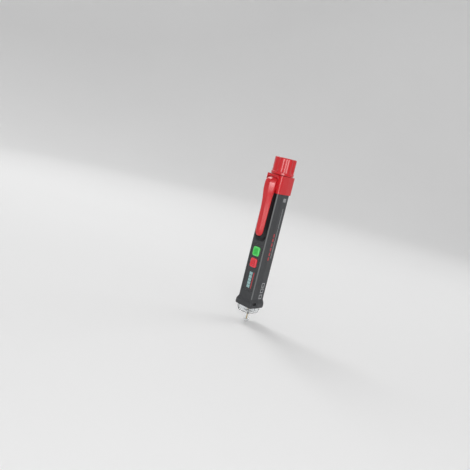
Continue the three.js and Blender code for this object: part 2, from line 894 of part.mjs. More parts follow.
// A component soldered to the front (-Y) or the back (+Y) of the board.
function chip(x, z, width, height, thickness, onFront) {
  const near = onFront ? boardFrontY - gap : boardBackY + gap;
  const far = onFront ? near - thickness : near + thickness;
  const y = [Math.min(near, far), Math.max(near, far)];
  return block([x - width / 2, x + width / 2], y, [z - height / 2, z + height / 2]);
}

function boardScrew(x, z) {
  const seat = boardBackY + gap;
  const head = rod(screwHeadRadius, seat, seat + screwHeadHeight, x, z, { alongY: true, sides: 20 });
  const shank = rod(screwRadius, seat - screwLength, seat + 0.1, x, z, { alongY: true, sides: 16 });
  const cross = 0.35;
  const deep = [seat + screwHeadHeight * 0.5, seat + screwHeadHeight + cutMargin];
  const slotA = block([x - 1, x + 1], deep, [z - cross / 2, z + cross / 2]);
  const slotB = block([x - cross / 2, x + cross / 2], deep, [z - 1, z + 1]);
  return head.add(shank).subtract(slotA).subtract(slotB);
}

function buzzer() {
  const z = flareTopZ + buzzerAboveFlare;
  const near = boardBackY + gap;
  const can = rod(buzzerRadius, near, near + buzzerHeight, 0, z, { alongY: true, sides: 32 });
  const vent = rod(1, near + 2, near + buzzerHeight + 1, 0, z, { alongY: true, sides: 16 });
  return can.subtract(vent);
}

// ---- The assembly ----------------------------------------------------------------------------------

const group = new THREE.Group();

function addPiece(name, piece, color, roughness, metalness = 0) {
  const material = new THREE.MeshStandardMaterial({ color, roughness, metalness });
  const mesh = new THREE.Mesh(geometryOf(piece), material);
  mesh.name = name;
  group.add(mesh);
}

const darkPlastic = 0x4b4d50;
const redPlastic = 0xd8141f;
const steel = 0xb8bcc0;
const brass = 0xc9a14a;

addPiece("front_shell", frontShell(), darkPlastic, 0.5);
addPiece("back_shell", backShell(), darkPlastic, 0.5);
addPiece("front_panel", frontPanel(), 0x2c2d30, 0.25);
addPiece("tail_collar", tailCollar(), redPlastic, 0.35);
addPiece("pocket_clip", pocketClip(), redPlastic, 0.3);
addPiece("end_cap", endCap(), redPlastic, 0.35);
addPiece("cap_seal", capSeal(), 0x1c1c1e, 0.8);
addPiece("tail_contact", tailContact(), brass, 0.3, 1);
addPiece("tail_spring", tailSpring(), steel, 0.3, 1);
addPiece("tip_lens", tipLens(), 0xe9eef0, 0.08);

addPiece("power_button", key(powerKeyZ), 0x3fce55, 0.35);
addPiece("light_button", key(lightKeyZ), 0xe8323f, 0.35);
addPiece("power_switch", switchBody(powerKeyZ), 0x2a2a2c, 0.5);
addPiece("light_switch", switchBody(lightKeyZ), 0x2a2a2c, 0.5);
addPiece("power_switch_plunger", plunger(powerKeyZ), 0xd9d4c6, 0.5);
addPiece("light_switch_plunger", plunger(lightKeyZ), 0xd9d4c6, 0.5);

addPiece("circuit_board", circuitBoard(), 0x1f6a3c, 0.45);
for (const [name, x, z] of screwPlaces) addPiece(name, boardScrew(x, z), steel, 0.3, 1);
const chipZ = boardZ + 9.6;
addPiece("controller_chip", chip(0, chipZ, 6, 5, 1, true), 0x18181a, 0.5);
addPiece("amplifier_chip", chip(-2, chipZ - 7, 3.9, 3, 0.9, true), 0x18181a, 0.5);
addPiece("filter_capacitor", chip(3.6, chipZ + 7, 2, 3.2, 0.9, true), 0xb08a5a, 0.5);
addPiece("key_light", chip(4.2, powerKeyZ, 1.2, 2, 0.7, true), 0xf2f0d8, 0.3);
addPiece("buzzer", buzzer(), 0x1b1b1d, 0.5);

addPiece("led_holder", ledHolder(), 0xe6e6e2, 0.5);
addPiece("torch_led", led(torchLedRadius, torchLedY, nubLength + 3.6), 0xf4f6f2, 0.1);
addPiece("alarm_led", led(alarmLedRadius, alarmLedY, nubLength + 5.4), 0xd93030, 0.15);
addPiece("sensor_antenna", antenna(), brass, 0.3, 1);

addPiece("front_cell", cell(frontCellZ), 0x3a4a58, 0.35, 0.3);
addPiece("rear_cell", cell(rearCellZ), 0x3a4a58, 0.35, 0.3);
addPiece("front_contact", frontContact(), steel, 0.3, 1);
addPiece("contact_strip", contactStrip(), steel, 0.3, 1);

export default group;
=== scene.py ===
import bpy
import bmesh
import json
from math import cos, sin, tan, acos, pi, radians
from mathutils import Matrix, Vector

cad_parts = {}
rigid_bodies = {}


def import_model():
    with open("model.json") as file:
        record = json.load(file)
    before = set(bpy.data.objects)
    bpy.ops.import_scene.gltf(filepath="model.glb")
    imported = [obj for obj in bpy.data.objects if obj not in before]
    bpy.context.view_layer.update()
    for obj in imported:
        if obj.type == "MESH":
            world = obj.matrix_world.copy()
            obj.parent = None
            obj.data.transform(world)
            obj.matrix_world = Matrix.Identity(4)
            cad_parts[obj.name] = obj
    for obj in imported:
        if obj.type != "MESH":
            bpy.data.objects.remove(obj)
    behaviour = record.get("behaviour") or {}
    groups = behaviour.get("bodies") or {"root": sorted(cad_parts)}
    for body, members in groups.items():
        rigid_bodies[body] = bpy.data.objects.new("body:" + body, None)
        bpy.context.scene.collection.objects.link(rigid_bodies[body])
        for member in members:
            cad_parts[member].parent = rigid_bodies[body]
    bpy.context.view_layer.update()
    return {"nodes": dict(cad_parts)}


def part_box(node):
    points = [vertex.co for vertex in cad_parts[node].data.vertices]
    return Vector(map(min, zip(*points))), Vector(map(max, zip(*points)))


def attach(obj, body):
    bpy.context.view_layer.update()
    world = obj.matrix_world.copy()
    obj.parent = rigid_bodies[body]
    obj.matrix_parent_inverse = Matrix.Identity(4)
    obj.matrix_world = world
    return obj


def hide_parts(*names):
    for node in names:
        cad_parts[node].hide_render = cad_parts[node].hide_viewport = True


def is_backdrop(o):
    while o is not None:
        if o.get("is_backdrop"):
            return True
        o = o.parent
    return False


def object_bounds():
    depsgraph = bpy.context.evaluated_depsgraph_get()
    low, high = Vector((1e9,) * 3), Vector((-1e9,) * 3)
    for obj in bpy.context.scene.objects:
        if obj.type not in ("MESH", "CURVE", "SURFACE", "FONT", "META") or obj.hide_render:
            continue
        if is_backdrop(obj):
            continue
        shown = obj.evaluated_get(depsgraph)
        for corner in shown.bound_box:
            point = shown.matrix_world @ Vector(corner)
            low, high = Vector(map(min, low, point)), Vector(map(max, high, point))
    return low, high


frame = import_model()

mm = 0.001  # shapes are in millimetres until an object is made
farOut = 20  # a cutting block reaches this far to the sides
past = 1  # a cutter runs this far past the face that it opens
meet = 1e-7  # points nearer than this, in metres, become one
finish = {"doubles": 2e-6, "slivers": 1e-6, "flatAngle": 0.4, "edgeAngle": 32, "weight": 60}


def loopPoints(corners, steps=8):
    # a closed loop through corners (x, y, radius), each corner rounded by its radius
    points = []
    for i, (x, y, radius) in enumerate(corners):
        here = Vector((x, y))
        toBefore = (Vector(corners[i - 1][:2]) - here).normalized()
        toAfter = (Vector(corners[(i + 1) % len(corners)][:2]) - here).normalized()
        if radius <= 0:
            points.append(here)
            continue
        reach = radius / tan(acos(max(-1, min(1, toBefore.dot(toAfter)))) / 2)
        start = here + toBefore * reach
        end = here + toAfter * reach
        for k in range(steps + 1):
            t = k / steps
            points.append(start * (1 - t) ** 2 + here * 2 * t * (1 - t) + end * t * t)
    return points


def bothSides(corners):
    return corners + [(-x, y, radius) for x, y, radius in reversed(corners)]


def roundedRectangle(half, bottom, top, radius):
    return bothSides([(half, bottom, radius), (half, top, radius)])


def smoothAt(knots, x):
    # a smooth line through knots (x, value), read at x
    xs = [k[0] for k in knots]
    ys = [k[1] for k in knots]
    if x <= xs[0]:
        return ys[0]
    if x >= xs[-1]:
        return ys[-1]

    def slope(k):
        if k in (0, len(xs) - 1):
            return 0
        left = (ys[k] - ys[k - 1]) / (xs[k] - xs[k - 1])
        right = (ys[k + 1] - ys[k]) / (xs[k + 1] - xs[k])
        return 0 if left * right <= 0 else 2 * left * right / (left + right)

    i = max(k for k in range(len(xs) - 1) if xs[k] <= x)
    h = xs[i + 1] - xs[i]
    t = (x - xs[i]) / h
    return ((2 * t**3 - 3 * t**2 + 1) * ys[i] + (t**3 - 2 * t**2 + t) * h * slope(i)
            + (3 * t**2 - 2 * t**3) * ys[i + 1] + (t**3 - t**2) * h * slope(i + 1))


def newObject(name, points, faces):
    mesh = bpy.data.meshes.new(name)
    mesh.from_pydata([Vector(p) * mm for p in points], [], faces)
    tool = bmesh.new()
    tool.from_mesh(mesh)
    bmesh.ops.remove_doubles(tool, verts=tool.verts, dist=meet)
    bmesh.ops.recalc_face_normals(tool, faces=tool.faces)
    tool.to_mesh(mesh)
    tool.free()
    piece = bpy.data.objects.new(name, mesh)
    bpy.context.scene.collection.objects.link(piece)
    return piece


def skinned(name, rings, loop=False):
    # rings of points with the same count, joined by quads; open ends are capped
    count = len(rings[0])
    points = [p for ring in rings for p in ring]
    faces = []
    for r in range(len(rings) if loop else len(rings) - 1):
        a = r * count
        b = ((r + 1) % len(rings)) * count
        for k in range(count):
            n = (k + 1) % count
            faces.append((a + k, a + n, b + n, b + k))
    if not loop:
        faces.append(tuple(range(count)))
        faces.append(tuple(reversed(range(len(points) - count, len(points)))))
    return newObject(name, points, faces)


def prism(name, loop, start, end, axis="Z"):
    # a loop carried straight along Z, or along Y
    if axis == "Y":
        rings = [[(p[0], w, p[1]) for p in loop] for w in (start, end)]
    else:
        rings = [[(p[0], p[1], w) for p in loop] for w in (start, end)]
    return skinned(name, rings)


def block(name, xs, ys, zs):
    loop = [(xs[0], ys[0]), (xs[1], ys[0]), (xs[1], ys[1]), (xs[0], ys[1])]
    return prism(name, loop, zs[0], zs[1])


def circle(radius, sides, centre=(0, 0)):
    angles = [2 * pi * k / sides for k in range(sides)]
    return [(centre[0] + radius * cos(a), centre[1] + radius * sin(a)) for a in angles]


def turned(name, profile, sides=96):
    # a closed profile of (radius, z) turned about Z; points on the axis meet
    rings = []
    for k in range(sides):
        a = 2 * pi * k / sides
        rings.append([(p[0] * cos(a), p[0] * sin(a), p[1]) for p in profile])
    piece = skinned(name, rings, loop=True)
    tool = bmesh.new()
    tool.from_mesh(piece.data)
    bmesh.ops.remove_doubles(tool, verts=tool.verts, dist=meet)
    bmesh.ops.dissolve_degenerate(tool, edges=tool.edges, dist=meet)
    bmesh.ops.recalc_face_normals(tool, faces=tool.faces)
    tool.to_mesh(piece.data)
    tool.free()
    return piece


def movedBack(piece, y):
    piece.data.transform(Matrix.Translation(Vector((0, y, 0)) * mm))


def baked(piece):
    # the evaluated mesh takes the place of the modifiers
    graph = bpy.context.evaluated_depsgraph_get()
    graph.update()
    shape = piece.evaluated_get(graph)
    mesh = bpy.data.meshes.new_from_object(shape, preserve_all_data_layers=True, depsgraph=graph)
    old = piece.data
    piece.modifiers.clear()
    piece.data = mesh
    mesh.name = piece.name
    if old.users == 0:
        bpy.data.meshes.remove(old)
    return piece


def combined(piece, others, operation):
    for other in others:
        step = piece.modifiers.new("shape", "BOOLEAN")
        step.operation = operation
        step.solver = "EXACT"
        step.object = other
        baked(piece)
        bpy.data.objects.remove(other)
    return piece


def cut(piece, *others):
    return combined(piece, others, "DIFFERENCE")


def add(piece, *others):
    return combined(piece, others, "UNION")


def keep(piece, *others):
    return combined(piece, others, "INTERSECT")


def copyOf(piece, name):
    double = bpy.data.objects.new(name, piece.data.copy())
    bpy.context.scene.collection.objects.link(double)
    return double


def softened(piece, width, segments=2, sharp=38):
    # flat faces are merged, edges get a small round, and normals follow the big faces
    tool = bmesh.new()
    tool.from_mesh(piece.data)
    bmesh.ops.remove_doubles(tool, verts=tool.verts, dist=finish["doubles"])
    bmesh.ops.dissolve_degenerate(tool, edges=tool.edges, dist=finish["slivers"])
    flatAngle = radians(finish["flatAngle"])
    bmesh.ops.dissolve_limit(tool, angle_limit=flatAngle, verts=tool.verts, edges=tool.edges)
    tool.to_mesh(piece.data)
    tool.free()
    if width > 0:
        bevel = piece.modifiers.new("edges", "BEVEL")
        bevel.width = width * mm
        bevel.segments = segments
        bevel.limit_method = "ANGLE"
        bevel.angle_limit = radians(finish["edgeAngle"])
        bevel.use_clamp_overlap = True
        bevel.miter_outer = "MITER_ARC"
        baked(piece)
    smoothed(piece, sharp)
    weighted = piece.modifiers.new("normals", "WEIGHTED_NORMAL")
    weighted.keep_sharp = True
    weighted.weight = finish["weight"]
    return baked(piece)


def smoothed(piece, sharp):
    piece.data.shade_smooth()
    piece.data.set_sharp_from_angle(angle=radians(sharp))


class Wire:
    # a socket that takes part in Python sums
    def __init__(self, maker, socket):
        self.maker = maker
        self.socket = socket

    def maths(self, operation, *others):
        return self.maker.make("ShaderNodeMath", {"operation": operation}, [self, *others])

    def __add__(self, other):
        return self.maths("ADD", other)

    def __radd__(self, other):
        return self.maths("ADD", other)

    def __sub__(self, other):
        return self.maths("SUBTRACT", other)

    def __rsub__(self, other):
        return self.maker.make("ShaderNodeMath", {"operation": "SUBTRACT"}, [other, self])

    def __mul__(self, other):
        return self.maths("MULTIPLY", other)

    def __rmul__(self, other):
        return self.maths("MULTIPLY", other)

    def __truediv__(self, other):
        return self.maths("DIVIDE", other)

    def __gt__(self, other):
        return self.maths("GREATER_THAN", other)

    def __lt__(self, other):
        return self.maths("LESS_THAN", other)

    def power(self, other):
        return self.maths("POWER", other)

    def size(self):
        return self.maths("ABSOLUTE")

    def atLeast(self, other):
        return self.maths("MAXIMUM", other)

    def wrapped(self, step):
        return self.maths("WRAP", step, 0.0)

    def capped(self):
        return self.maker.make("ShaderNodeClamp", {}, [self])


class NodeMaker:
    # adds nodes to a tree: settings first, then the values or links of the sockets
    def __init__(self, tree):
        self.nodes = tree.nodes
        self.links = tree.links

    def make(self, kind, settings, inputs, output=0):
        node = self.nodes.new(kind)
        for key, value in settings.items():
            setattr(node, key, value)
        pairs = inputs.items() if isinstance(inputs, dict) else enumerate(inputs)
        for key, value in pairs:
            if isinstance(value, Wire):
                self.links.new(value.socket, node.inputs[key])
            else:
                node.inputs[key].default_value = value
        return Wire(self, node.outputs[output])

    def axes(self, vector):
        node = self.make("ShaderNodeSeparateXYZ", {}, [vector]).socket.node
        return [Wire(self, node.outputs[k]) for k in range(3)]


shaderSockets = {
    "color": "Base Color", "rough": "Roughness", "metal": "Metallic", "coat": "Coat Weight",
    "coatRough": "Coat Roughness", "glow": "Emission Color", "glowStrength": "Emission Strength",
    "clear": "Transmission Weight", "ior": "IOR", "normal": "Normal", "under": "Subsurface Weight",
    "underScale": "Subsurface Scale",
}


class Finish(NodeMaker):
    def __init__(self, name):
        self.material = bpy.data.materials.new(name)
        self.material.use_nodes = True
        super().__init__(self.material.node_tree)
        self.shader = self.nodes["Principled BSDF"]
        self.place = self.make("ShaderNodeTexCoord", {}, {}, "Object")

    def placeAxes(self):
        return [axis / mm for axis in self.axes(self.place)]

    def noise(self, scale, detail=3.0, rough=0.55, place=None):
        inputs = {"Vector": place or self.place, "Scale": scale, "Detail": detail, "Roughness": rough}
        return self.make("ShaderNodeTexNoise", {}, inputs, "Fac")

    def stretched(self, scale):
        return self.make("ShaderNodeMapping", {}, {"Vector": self.place, "Scale": scale})

    def mixed(self, share, first, second):
        return self.make("ShaderNodeMix", {"data_type": "RGBA"}, {0: share, 6: first, 7: second}, 2)

    def feed(self, **inputs):
        for key, value in inputs.items():
            socket = self.shader.inputs[shaderSockets[key]]
            if isinstance(value, Wire):
                self.links.new(value.socket, socket)
            else:
                socket.default_value = value

    def bump(self, height, strength, distance):
        inputs = {"Strength": strength, "Distance": distance, "Height": height}
        self.feed(normal=self.make("ShaderNodeBump", {}, inputs))


def band(value, start, end, soft):
    # 1 between start and end, with a narrow soft edge
    rise = ((value - start) / soft + 0.5).capped()
    fall = ((end - value) / soft + 0.5).capped()
    return rise * fall


def patch(u, v, uRange, vRange, soft):
    return band(u, *uRange, soft) * band(v, *vRange, soft)


def rgb(r, g, b):
    return (r, g, b, 1.0)


texture = {
    "driftDetail": 2.0, "grainDetail": 2.0, "grainRough": 0.6, "scuffDetail": 5.0, "scuffRough": 0.65,
    "scuffStretch": (1.0, 1.0, 0.25), "streakDetail": 4.0, "streakRough": 0.6,
}


def mouldedPlastic(name, look, marks=None):
    # fine moulded grain, slow colour drift and a little handling sheen
    tree = Finish(name)
    along = tree.stretched(texture["scuffStretch"])
    drift = tree.noise(look["driftScale"], texture["driftDetail"])
    grain = tree.noise(look["grainScale"], texture["grainDetail"], texture["grainRough"])
    scuff = tree.noise(look["scuffScale"], texture["scuffDetail"], texture["scuffRough"], along)
    color = tree.mixed(drift, look["color"], look["colorFar"])
    rough = look["rough"] + (grain - 0.5) * look["roughGrain"] + (scuff - 0.5) * look["roughScuff"]
    if marks:
        for mask, ink in marks(tree):
            color = tree.mixed(mask, color, ink)
    tree.feed(color=color, rough=rough, coat=look.get("coat", 0.0), coatRough=look.get("coatRough", 0.2))
    tree.bump(grain, look["bump"], look["bumpDepth"])
    return tree.material


def plainMetal(name, look):
    tree = Finish(name)
    along = tree.stretched(look["streakStretch"])
    streak = tree.noise(look["streakScale"], texture["streakDetail"], texture["streakRough"], along)
    spots = tree.noise(look["spotScale"])
    color = tree.mixed(spots, look["color"], look["colorFar"])
    tree.feed(color=color, metal=1.0, rough=look["rough"] + (streak - 0.5) * look["roughStreak"])
    tree.bump(streak, look["bump"], look["bumpDepth"])
    return tree.material


def dressed(piece, body, slot, material, *replaced):
    piece.data.materials.clear()
    piece.data.materials.append(material)
    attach(piece, body)
    if replaced:
        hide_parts(*replaced)


def lowCorner(node):
    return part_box(node)[0] / mm


def highCorner(node):
    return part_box(node)[1] / mm


def middleZ(node):
    return (lowCorner(node).z + highCorner(node).z) / 2


# heights that the frame gives
noseZ = lowCorner("front_shell").z
shellTopZ = highCorner("front_shell").z
collarZ = lowCorner("tail_collar").z
neckTopZ = highCorner("tail_collar").z
capZ = lowCorner("end_cap").z
capTopZ = highCorner("end_cap").z
collarTopZ = capZ - 0.3  # the cap stands off the collar by this gap
clipZ = lowCorner("pocket_clip").z
clipTopZ = highCorner("pocket_clip").z
keyZ = {"power": middleZ("power_button"), "light": middleZ("light_button")}

body = {
    "width": 17.0, "depth": 19.0, "wall": 1.5, "seam": -3.2, "seamGap": 0.14, "crease": -0.4,
    "creaseRadius": 1.2, "backNarrowing": 1.0, "frontRadius": 1.5, "backRadius": 3.4, "leastRadius": 0.3,
    "edge": 0.14, "flareLength": 8.5, "flareWidth": 1.7, "flareDepth": 1.1, "flareRings": 26,
    "flare": [(0, 0.8), (0.1, 0.95), (0.22, 1), (0.42, 0.97), (0.58, 0.82), (0.72, 0.52), (0.84, 0.22),
              (0.93, 0.06), (1, 0)],
    "ports": 3, "portRadius": 0.9, "portStep": 2.9, "portSides": 24,
}
frontY = -body["depth"] / 2
backY = body["depth"] / 2


def bodyLoop(inset):
    side = body["width"] / 2 - inset
    least = body["leastRadius"]
    return loopPoints(bothSides([
        (side, frontY + inset, max(body["frontRadius"] - inset, least)),
        (side, body["crease"], body["creaseRadius"]),
        (side - body["backNarrowing"], backY - inset, max(body["backRadius"] - inset, least)),
    ]))


def flareAt(share):
    # how much wider and deeper the body is at a share of the flare's length
    amount = smoothAt(body["flare"], share)
    wide = 1 + amount * body["flareWidth"] / (body["width"] / 2)
    deep = 1 + amount * body["flareDepth"] / (body["depth"] / 2)
    return wide, deep


recess = {
    "half": 7.3, "depth": 3.4, "wall": 1.2, "radius": 7.1, "slope": 5.5, "narrowing": 0.3, "rings": 14,
    "roundSteps": 14, "low": clipZ - 6.4, "high": collarZ + 1.5, "frameBelow": 4, "frameShort": 0.5,
}


def recessShape(name, grow=0.0):
    # the hollow behind the clip; its lower end slopes in from the body's front face
    rings = []
    half = recess["half"] + grow
    start = recess["low"] - 2 * grow
    floor = frontY + recess["depth"] + grow
    for k in range(recess["rings"] + 1):
        y = frontY - past + (floor - frontY + past) * k / recess["rings"]
        lift = recess["slope"] * max(0, y - frontY) / recess["depth"]
        tight = recess["narrowing"] * max(0, y - frontY) / recess["depth"]
        loop = loopPoints(bothSides([
            (half - tight, start + lift, recess["radius"] + grow - tight),
            (half - tight, recess["high"] + grow, 0),
        ]), recess["roundSteps"])
        rings.append([(p[0], y, p[1]) for p in loop])
    return skinned(name, rings)


keys = {
    "width": 7.4, "height": 8.6, "corner": 1.9, "leastCorner": 0.4, "proud": 0.8, "edge": 0.5, "edgeSteps": 8,
    "shoulder": 0.4, "dish": 0.4, "dishSteps": 13, "flangeSide": 0.9, "flangeEnd": 0.35,
    "flangeThickness": 0.5, "flangeStep": 0.01, "gap": 0.25, "sharp": 50,
}


def keyHole(name, z):
    half = keys["width"] / 2 + keys["gap"]
    rise = keys["height"] / 2 + keys["gap"]
    loop = loopPoints(roundedRectangle(half, z - rise, z + rise, keys["corner"] + keys["gap"]))
    return prism(name, loop, frontY - past, frontY + body["wall"] + past, "Y")


panel = {
    "half": 6.7, "corner": 1.5, "thickness": 0.5, "rim": 0.45, "rimDrop": 0.16, "seat": 0.12, "edge": 0.08,
    "seatDeeper": 0.1, "low": lowCorner("front_panel").z, "high": highCorner("front_panel").z,
}


def panelLoop(grow):
    bottom = panel["low"] - grow
    top = panel["high"] + grow
    return loopPoints(roundedRectangle(panel["half"] + grow, bottom, top, panel["corner"] + grow))


lens = {
    "nub": 2.8, "nubLength": 9.2, "nubBore": 1.6, "nubFloor": 2.0, "inset": 0.6, "wall": 1.5,
    "flangeStep": 0.6, "flangeThickness": 1.6, "flangeInset": 3.6, "mouthGap": 0.15, "mouthOver": 0.1,
    "bayGap": 0.3, "grooveGap": 0.2, "boreSides": 48,
    "earY": -5.7, "earWidth": 4.0, "earHeight": 1.6, "earProud": 0.6, "earGap": 0.3, "earStandOff": 0.02,
    "earEdge": 0.2, "taperRings": 24, "sharp": 40,
    "taper": [(0, 0.7), (0.05, 0.765), (0.15, 0.85), (0.35, 0.93), (0.7, 0.985), (1, 1)],
}
flangeZ = noseZ + lens["flangeInset"]
flangeTopZ = flangeZ + lens["flangeThickness"]


def shellsWhole():
    rings = []
    for k in range(body["flareRings"] + 1):
        share = k / body["flareRings"]
        wide, deep = flareAt(share)
        z = noseZ + share * body["flareLength"]
        rings.append([(p[0] * wide, p[1] * deep, z) for p in bodyLoop(0)])
    rings.append([(p[0], p[1], shellTopZ) for p in bodyLoop(0)])
    whole = skinned("shells", rings)
    gap = lens["grooveGap"]
    mouthLoop = bodyLoop(lens["inset"] - lens["mouthGap"])
    grooveLoop = bodyLoop(lens["inset"] - lens["flangeStep"] - gap)
    bay = prism("bay", bodyLoop(body["wall"]), flangeTopZ + lens["bayGap"], shellTopZ + past)
    mouth = prism("mouth", mouthLoop, noseZ - past, flangeZ + lens["mouthOver"])
    groove = prism("groove", grooveLoop, flangeZ - gap, flangeTopZ + 2 * gap)
    return cut(whole, bay, mouth, groove)


def earWindows(name):
    half = lens["earWidth"] / 2 + lens["earGap"]
    rise = lens["earHeight"] / 2 + lens["earGap"]
    middle = flangeZ + lens["flangeThickness"] / 2
    ys = (lens["earY"] - half, lens["earY"] + half)
    return block(name, (-farOut, farOut), ys, (middle - rise, middle + rise))


def frontHalf(name):
    seam = body["seam"] - body["seamGap"] / 2
    return block(name, (-farOut, farOut), (-farOut, seam), (noseZ - past, shellTopZ + past))


def backHalf(name):
    seam = body["seam"] + body["seamGap"] / 2
    return block(name, (-farOut, farOut), (seam, farOut), (noseZ - past, shellTopZ + past))


def keyHoles():
    return keyHole("power_hole", keyZ["power"]), keyHole("light_hole", keyZ["light"])


backShell = shellsWhole()
backShell.name = "back_casing"
frontShell = copyOf(backShell, "front_casing")
recessFrame = prism("recess_frame", bodyLoop(body["wall"] / 2), recess["low"] - recess["frameBelow"],
                    shellTopZ - recess["frameShort"])
keep(recessFrame, recessShape("recess_outer", recess["wall"]))
keep(frontShell, frontHalf("front_half"))
keep(recessFrame, frontHalf("frame_half"))
add(frontShell, recessFrame)
panelSeat = prism("panel_seat", panelLoop(panel["seat"]), frontY - past,
                  frontY + panel["thickness"] + panel["seatDeeper"], "Y")
cut(frontShell, recessShape("recess_cut"), *keyHoles(), panelSeat, earWindows("ear_windows"))
keep(backShell, backHalf("back_half"))
buzzerZ = middleZ("buzzer")
for k in range(body["ports"]):
    portZ = buzzerZ + (k - 1) * body["portStep"]
    port = circle(body["portRadius"], body["portSides"], (0, portZ))
    cut(backShell, prism("port", port, 0, farOut, "Y"))
softened(frontShell, body["edge"])
softened(backShell, body["edge"])
print("casing done")

panelPiece = prism("panel_inlay", panelLoop(0), frontY, frontY + panel["thickness"], "Y")
cut(panelPiece, prism("panel_sink", panelLoop(-panel["rim"]), frontY - past, frontY + panel["rimDrop"], "Y"),
    *keyHoles())
softened(panelPiece, panel["edge"])
print("panel done")


def keyPiece(name, z):
    half = keys["width"] / 2
    rise = keys["height"] / 2
    top = frontY - keys["proud"]
    flangeBack = highCorner("power_button").y
    flangeFront = flangeBack - keys["flangeThickness"]

    def ring(inset, y, scale=1.0, side=0.0, end=0.0):
        across = half - inset + side
        up = rise - inset + end
        corner = max(keys["corner"] - inset, keys["leastCorner"])
        loop = loopPoints(roundedRectangle(across, -up, up, corner))
        return [(p[0] * scale, y, z + p[1] * scale) for p in loop]

    rings = [ring(0, y, side=keys["flangeSide"], end=keys["flangeEnd"]) for y in (flangeBack, flangeFront)]
    rings.append(ring(0, flangeFront - keys["flangeStep"]))
    rings.append(ring(0, top + keys["edge"] + keys["shoulder"]))
    for k in range(keys["edgeSteps"] + 1):
        a = k / keys["edgeSteps"] * pi / 2
        rings.append(ring(keys["edge"] * (1 - cos(a)), top + keys["edge"] * (1 - sin(a))))
    for k in range(1, keys["dishSteps"]):
        share = 1 - k / keys["dishSteps"]
        rings.append(ring(keys["edge"], top + keys["dish"] * (1 - share**2), scale=share))
    piece = skinned(name, rings)
    smoothed(piece, keys["sharp"])
    return piece


marking = {
    "radius": 1.6, "tube": 0.17, "sink": 0.12, "steps": 48, "sides": 10, "opening": 1.1, "stem": (0.3, 2.3),
}


def ringMark(name, z, opening=0.0):
    # a raised ring on a key; the one with an opening gets a bar in it
    tube = marking["tube"]
    y = frontY - keys["proud"] + keys["dish"] - marking["sink"]
    rings = []
    for k in range(marking["steps"] + 1):
        a = pi / 2 + opening / 2 + (2 * pi - opening) * k / marking["steps"]
        ring = []
        for j in range(marking["sides"]):
            b = 2 * pi * j / marking["sides"]
            reach = marking["radius"] + tube * cos(b)
            ring.append((reach * cos(a), y + tube * sin(b), z + reach * sin(a)))
        rings.append(ring)
    if opening:
        piece = skinned(name, rings)
        start, end = marking["stem"]
        add(piece, prism("stem", circle(tube, marking["sides"], (0, y)), z + start, z + end))
    else:
        piece = skinned(name, rings[:-1], loop=True)
    smoothed(piece, keys["sharp"])
    return piece


powerKey = keyPiece("power_key", keyZ["power"])
lightKey = keyPiece("light_key", keyZ["light"])
powerMark = ringMark("power_mark", keyZ["power"], marking["opening"])
lightMark = ringMark("light_mark", keyZ["light"])
print("keys done")

# each list is (height above the clip's tip, size)
clip = {
    "half": [(0, 1.9), (0.8, 3.1), (2.4, 4.1), (5, 4.5), (29, 5.1), (37, 5.4), (43, 6.0), (46, 6.2),
             (52, 6.2), (53.8, 5.9), (55, 5.0)],
    "flat": [(0, 0.7), (2.4, 1.5), (5, 1.8), (29, 2.1), (37, 2.4), (46, 2.7), (52, 2.5), (53.8, 2.2),
             (55, 1.8)],
    "front": [(0, 13.7), (0.8, 14.5), (2.4, 15.2), (5, 15.4), (26, 15.8), (35, 16.4), (43, 17.5), (49, 17.6),
              (52, 16.9), (53.8, 15.6), (55, 13.7)],
    "under": [(0, 12.4), (5, 12.0), (43, 12.0), (44.6, 10.35), (55, 10.35)],
    "round": 0.5, "backRound": 0.3, "sideRound": 0.45, "leastRound": 0.02, "roundSteps": 5, "rings": 110,
    "bunching": 0.35, "thin": 0.25, "sharp": 52,
}


def clipPiece():
    rings = []
    length = clipTopZ - clipZ
    for k in range(clip["rings"] + 1):
        s = k / clip["rings"]
        bunched = length * (0.5 - 0.5 * cos(pi * s))  # closer rings at both ends
        rise = bunched * clip["bunching"] + length * s * (1 - clip["bunching"])
        half = smoothAt(clip["half"], rise)
        flat = smoothAt(clip["flat"], rise)
        front = -smoothAt(clip["front"], rise)
        under = -smoothAt(clip["under"], rise)
        side = min(front + half - flat, under - clip["thin"])
        soft = min(clip["round"], (under - side) * clip["sideRound"] + clip["leastRound"])
        loop = loopPoints(bothSides([
            (flat, front, clip["round"]), (half, side, soft), (half, under, min(soft, clip["backRound"])),
        ]), clip["roundSteps"])
        rings.append([(p[0], p[1], clipZ + rise) for p in loop])
    return softened(skinned("clip_blade", rings), 0.0, sharp=clip["sharp"])


clipBlade = clipPiece()
print("clip done")


class NodeShape(NodeMaker):
    # a geometry node tree with named inputs, turned into a plain mesh
    def __init__(self, name, inputs):
        self.name = name
        self.inputs = inputs
        self.group = bpy.data.node_groups.new(name, "GeometryNodeTree")
        super().__init__(self.group)
        self.ids = {}
        for key, value in inputs.items():
            kind = "NodeSocketInt" if isinstance(value, int) else "NodeSocketFloat"
            kind = "NodeSocketMaterial" if key == "material" else kind
            socket = self.group.interface.new_socket(key, in_out="INPUT", socket_type=kind)
            self.ids[key] = socket.identifier
        self.group.interface.new_socket("Geometry", in_out="OUTPUT", socket_type="NodeSocketGeometry")
        self.start = self.nodes.new("NodeGroupInput")
        self.end = self.nodes.new("NodeGroupOutput")

    def given(self, key):
        return Wire(self, self.start.outputs[key])

    def built(self, geometry):
        solid = self.make("GeometryNodeRealizeInstances", {}, {"Geometry": geometry})
        shown = self.make("GeometryNodeSetMaterial", {}, {
            "Geometry": solid, "Material": self.given("material"),
        })
        self.links.new(shown.socket, self.end.inputs[0])
        piece = bpy.data.objects.new(self.name, bpy.data.meshes.new(self.name))
        bpy.context.scene.collection.objects.link(piece)
        step = piece.modifiers.new("shape", "NODES")
        step.node_group = self.group
        for key, value in self.inputs.items():
            step[self.ids[key]] = value
        return baked(piece)


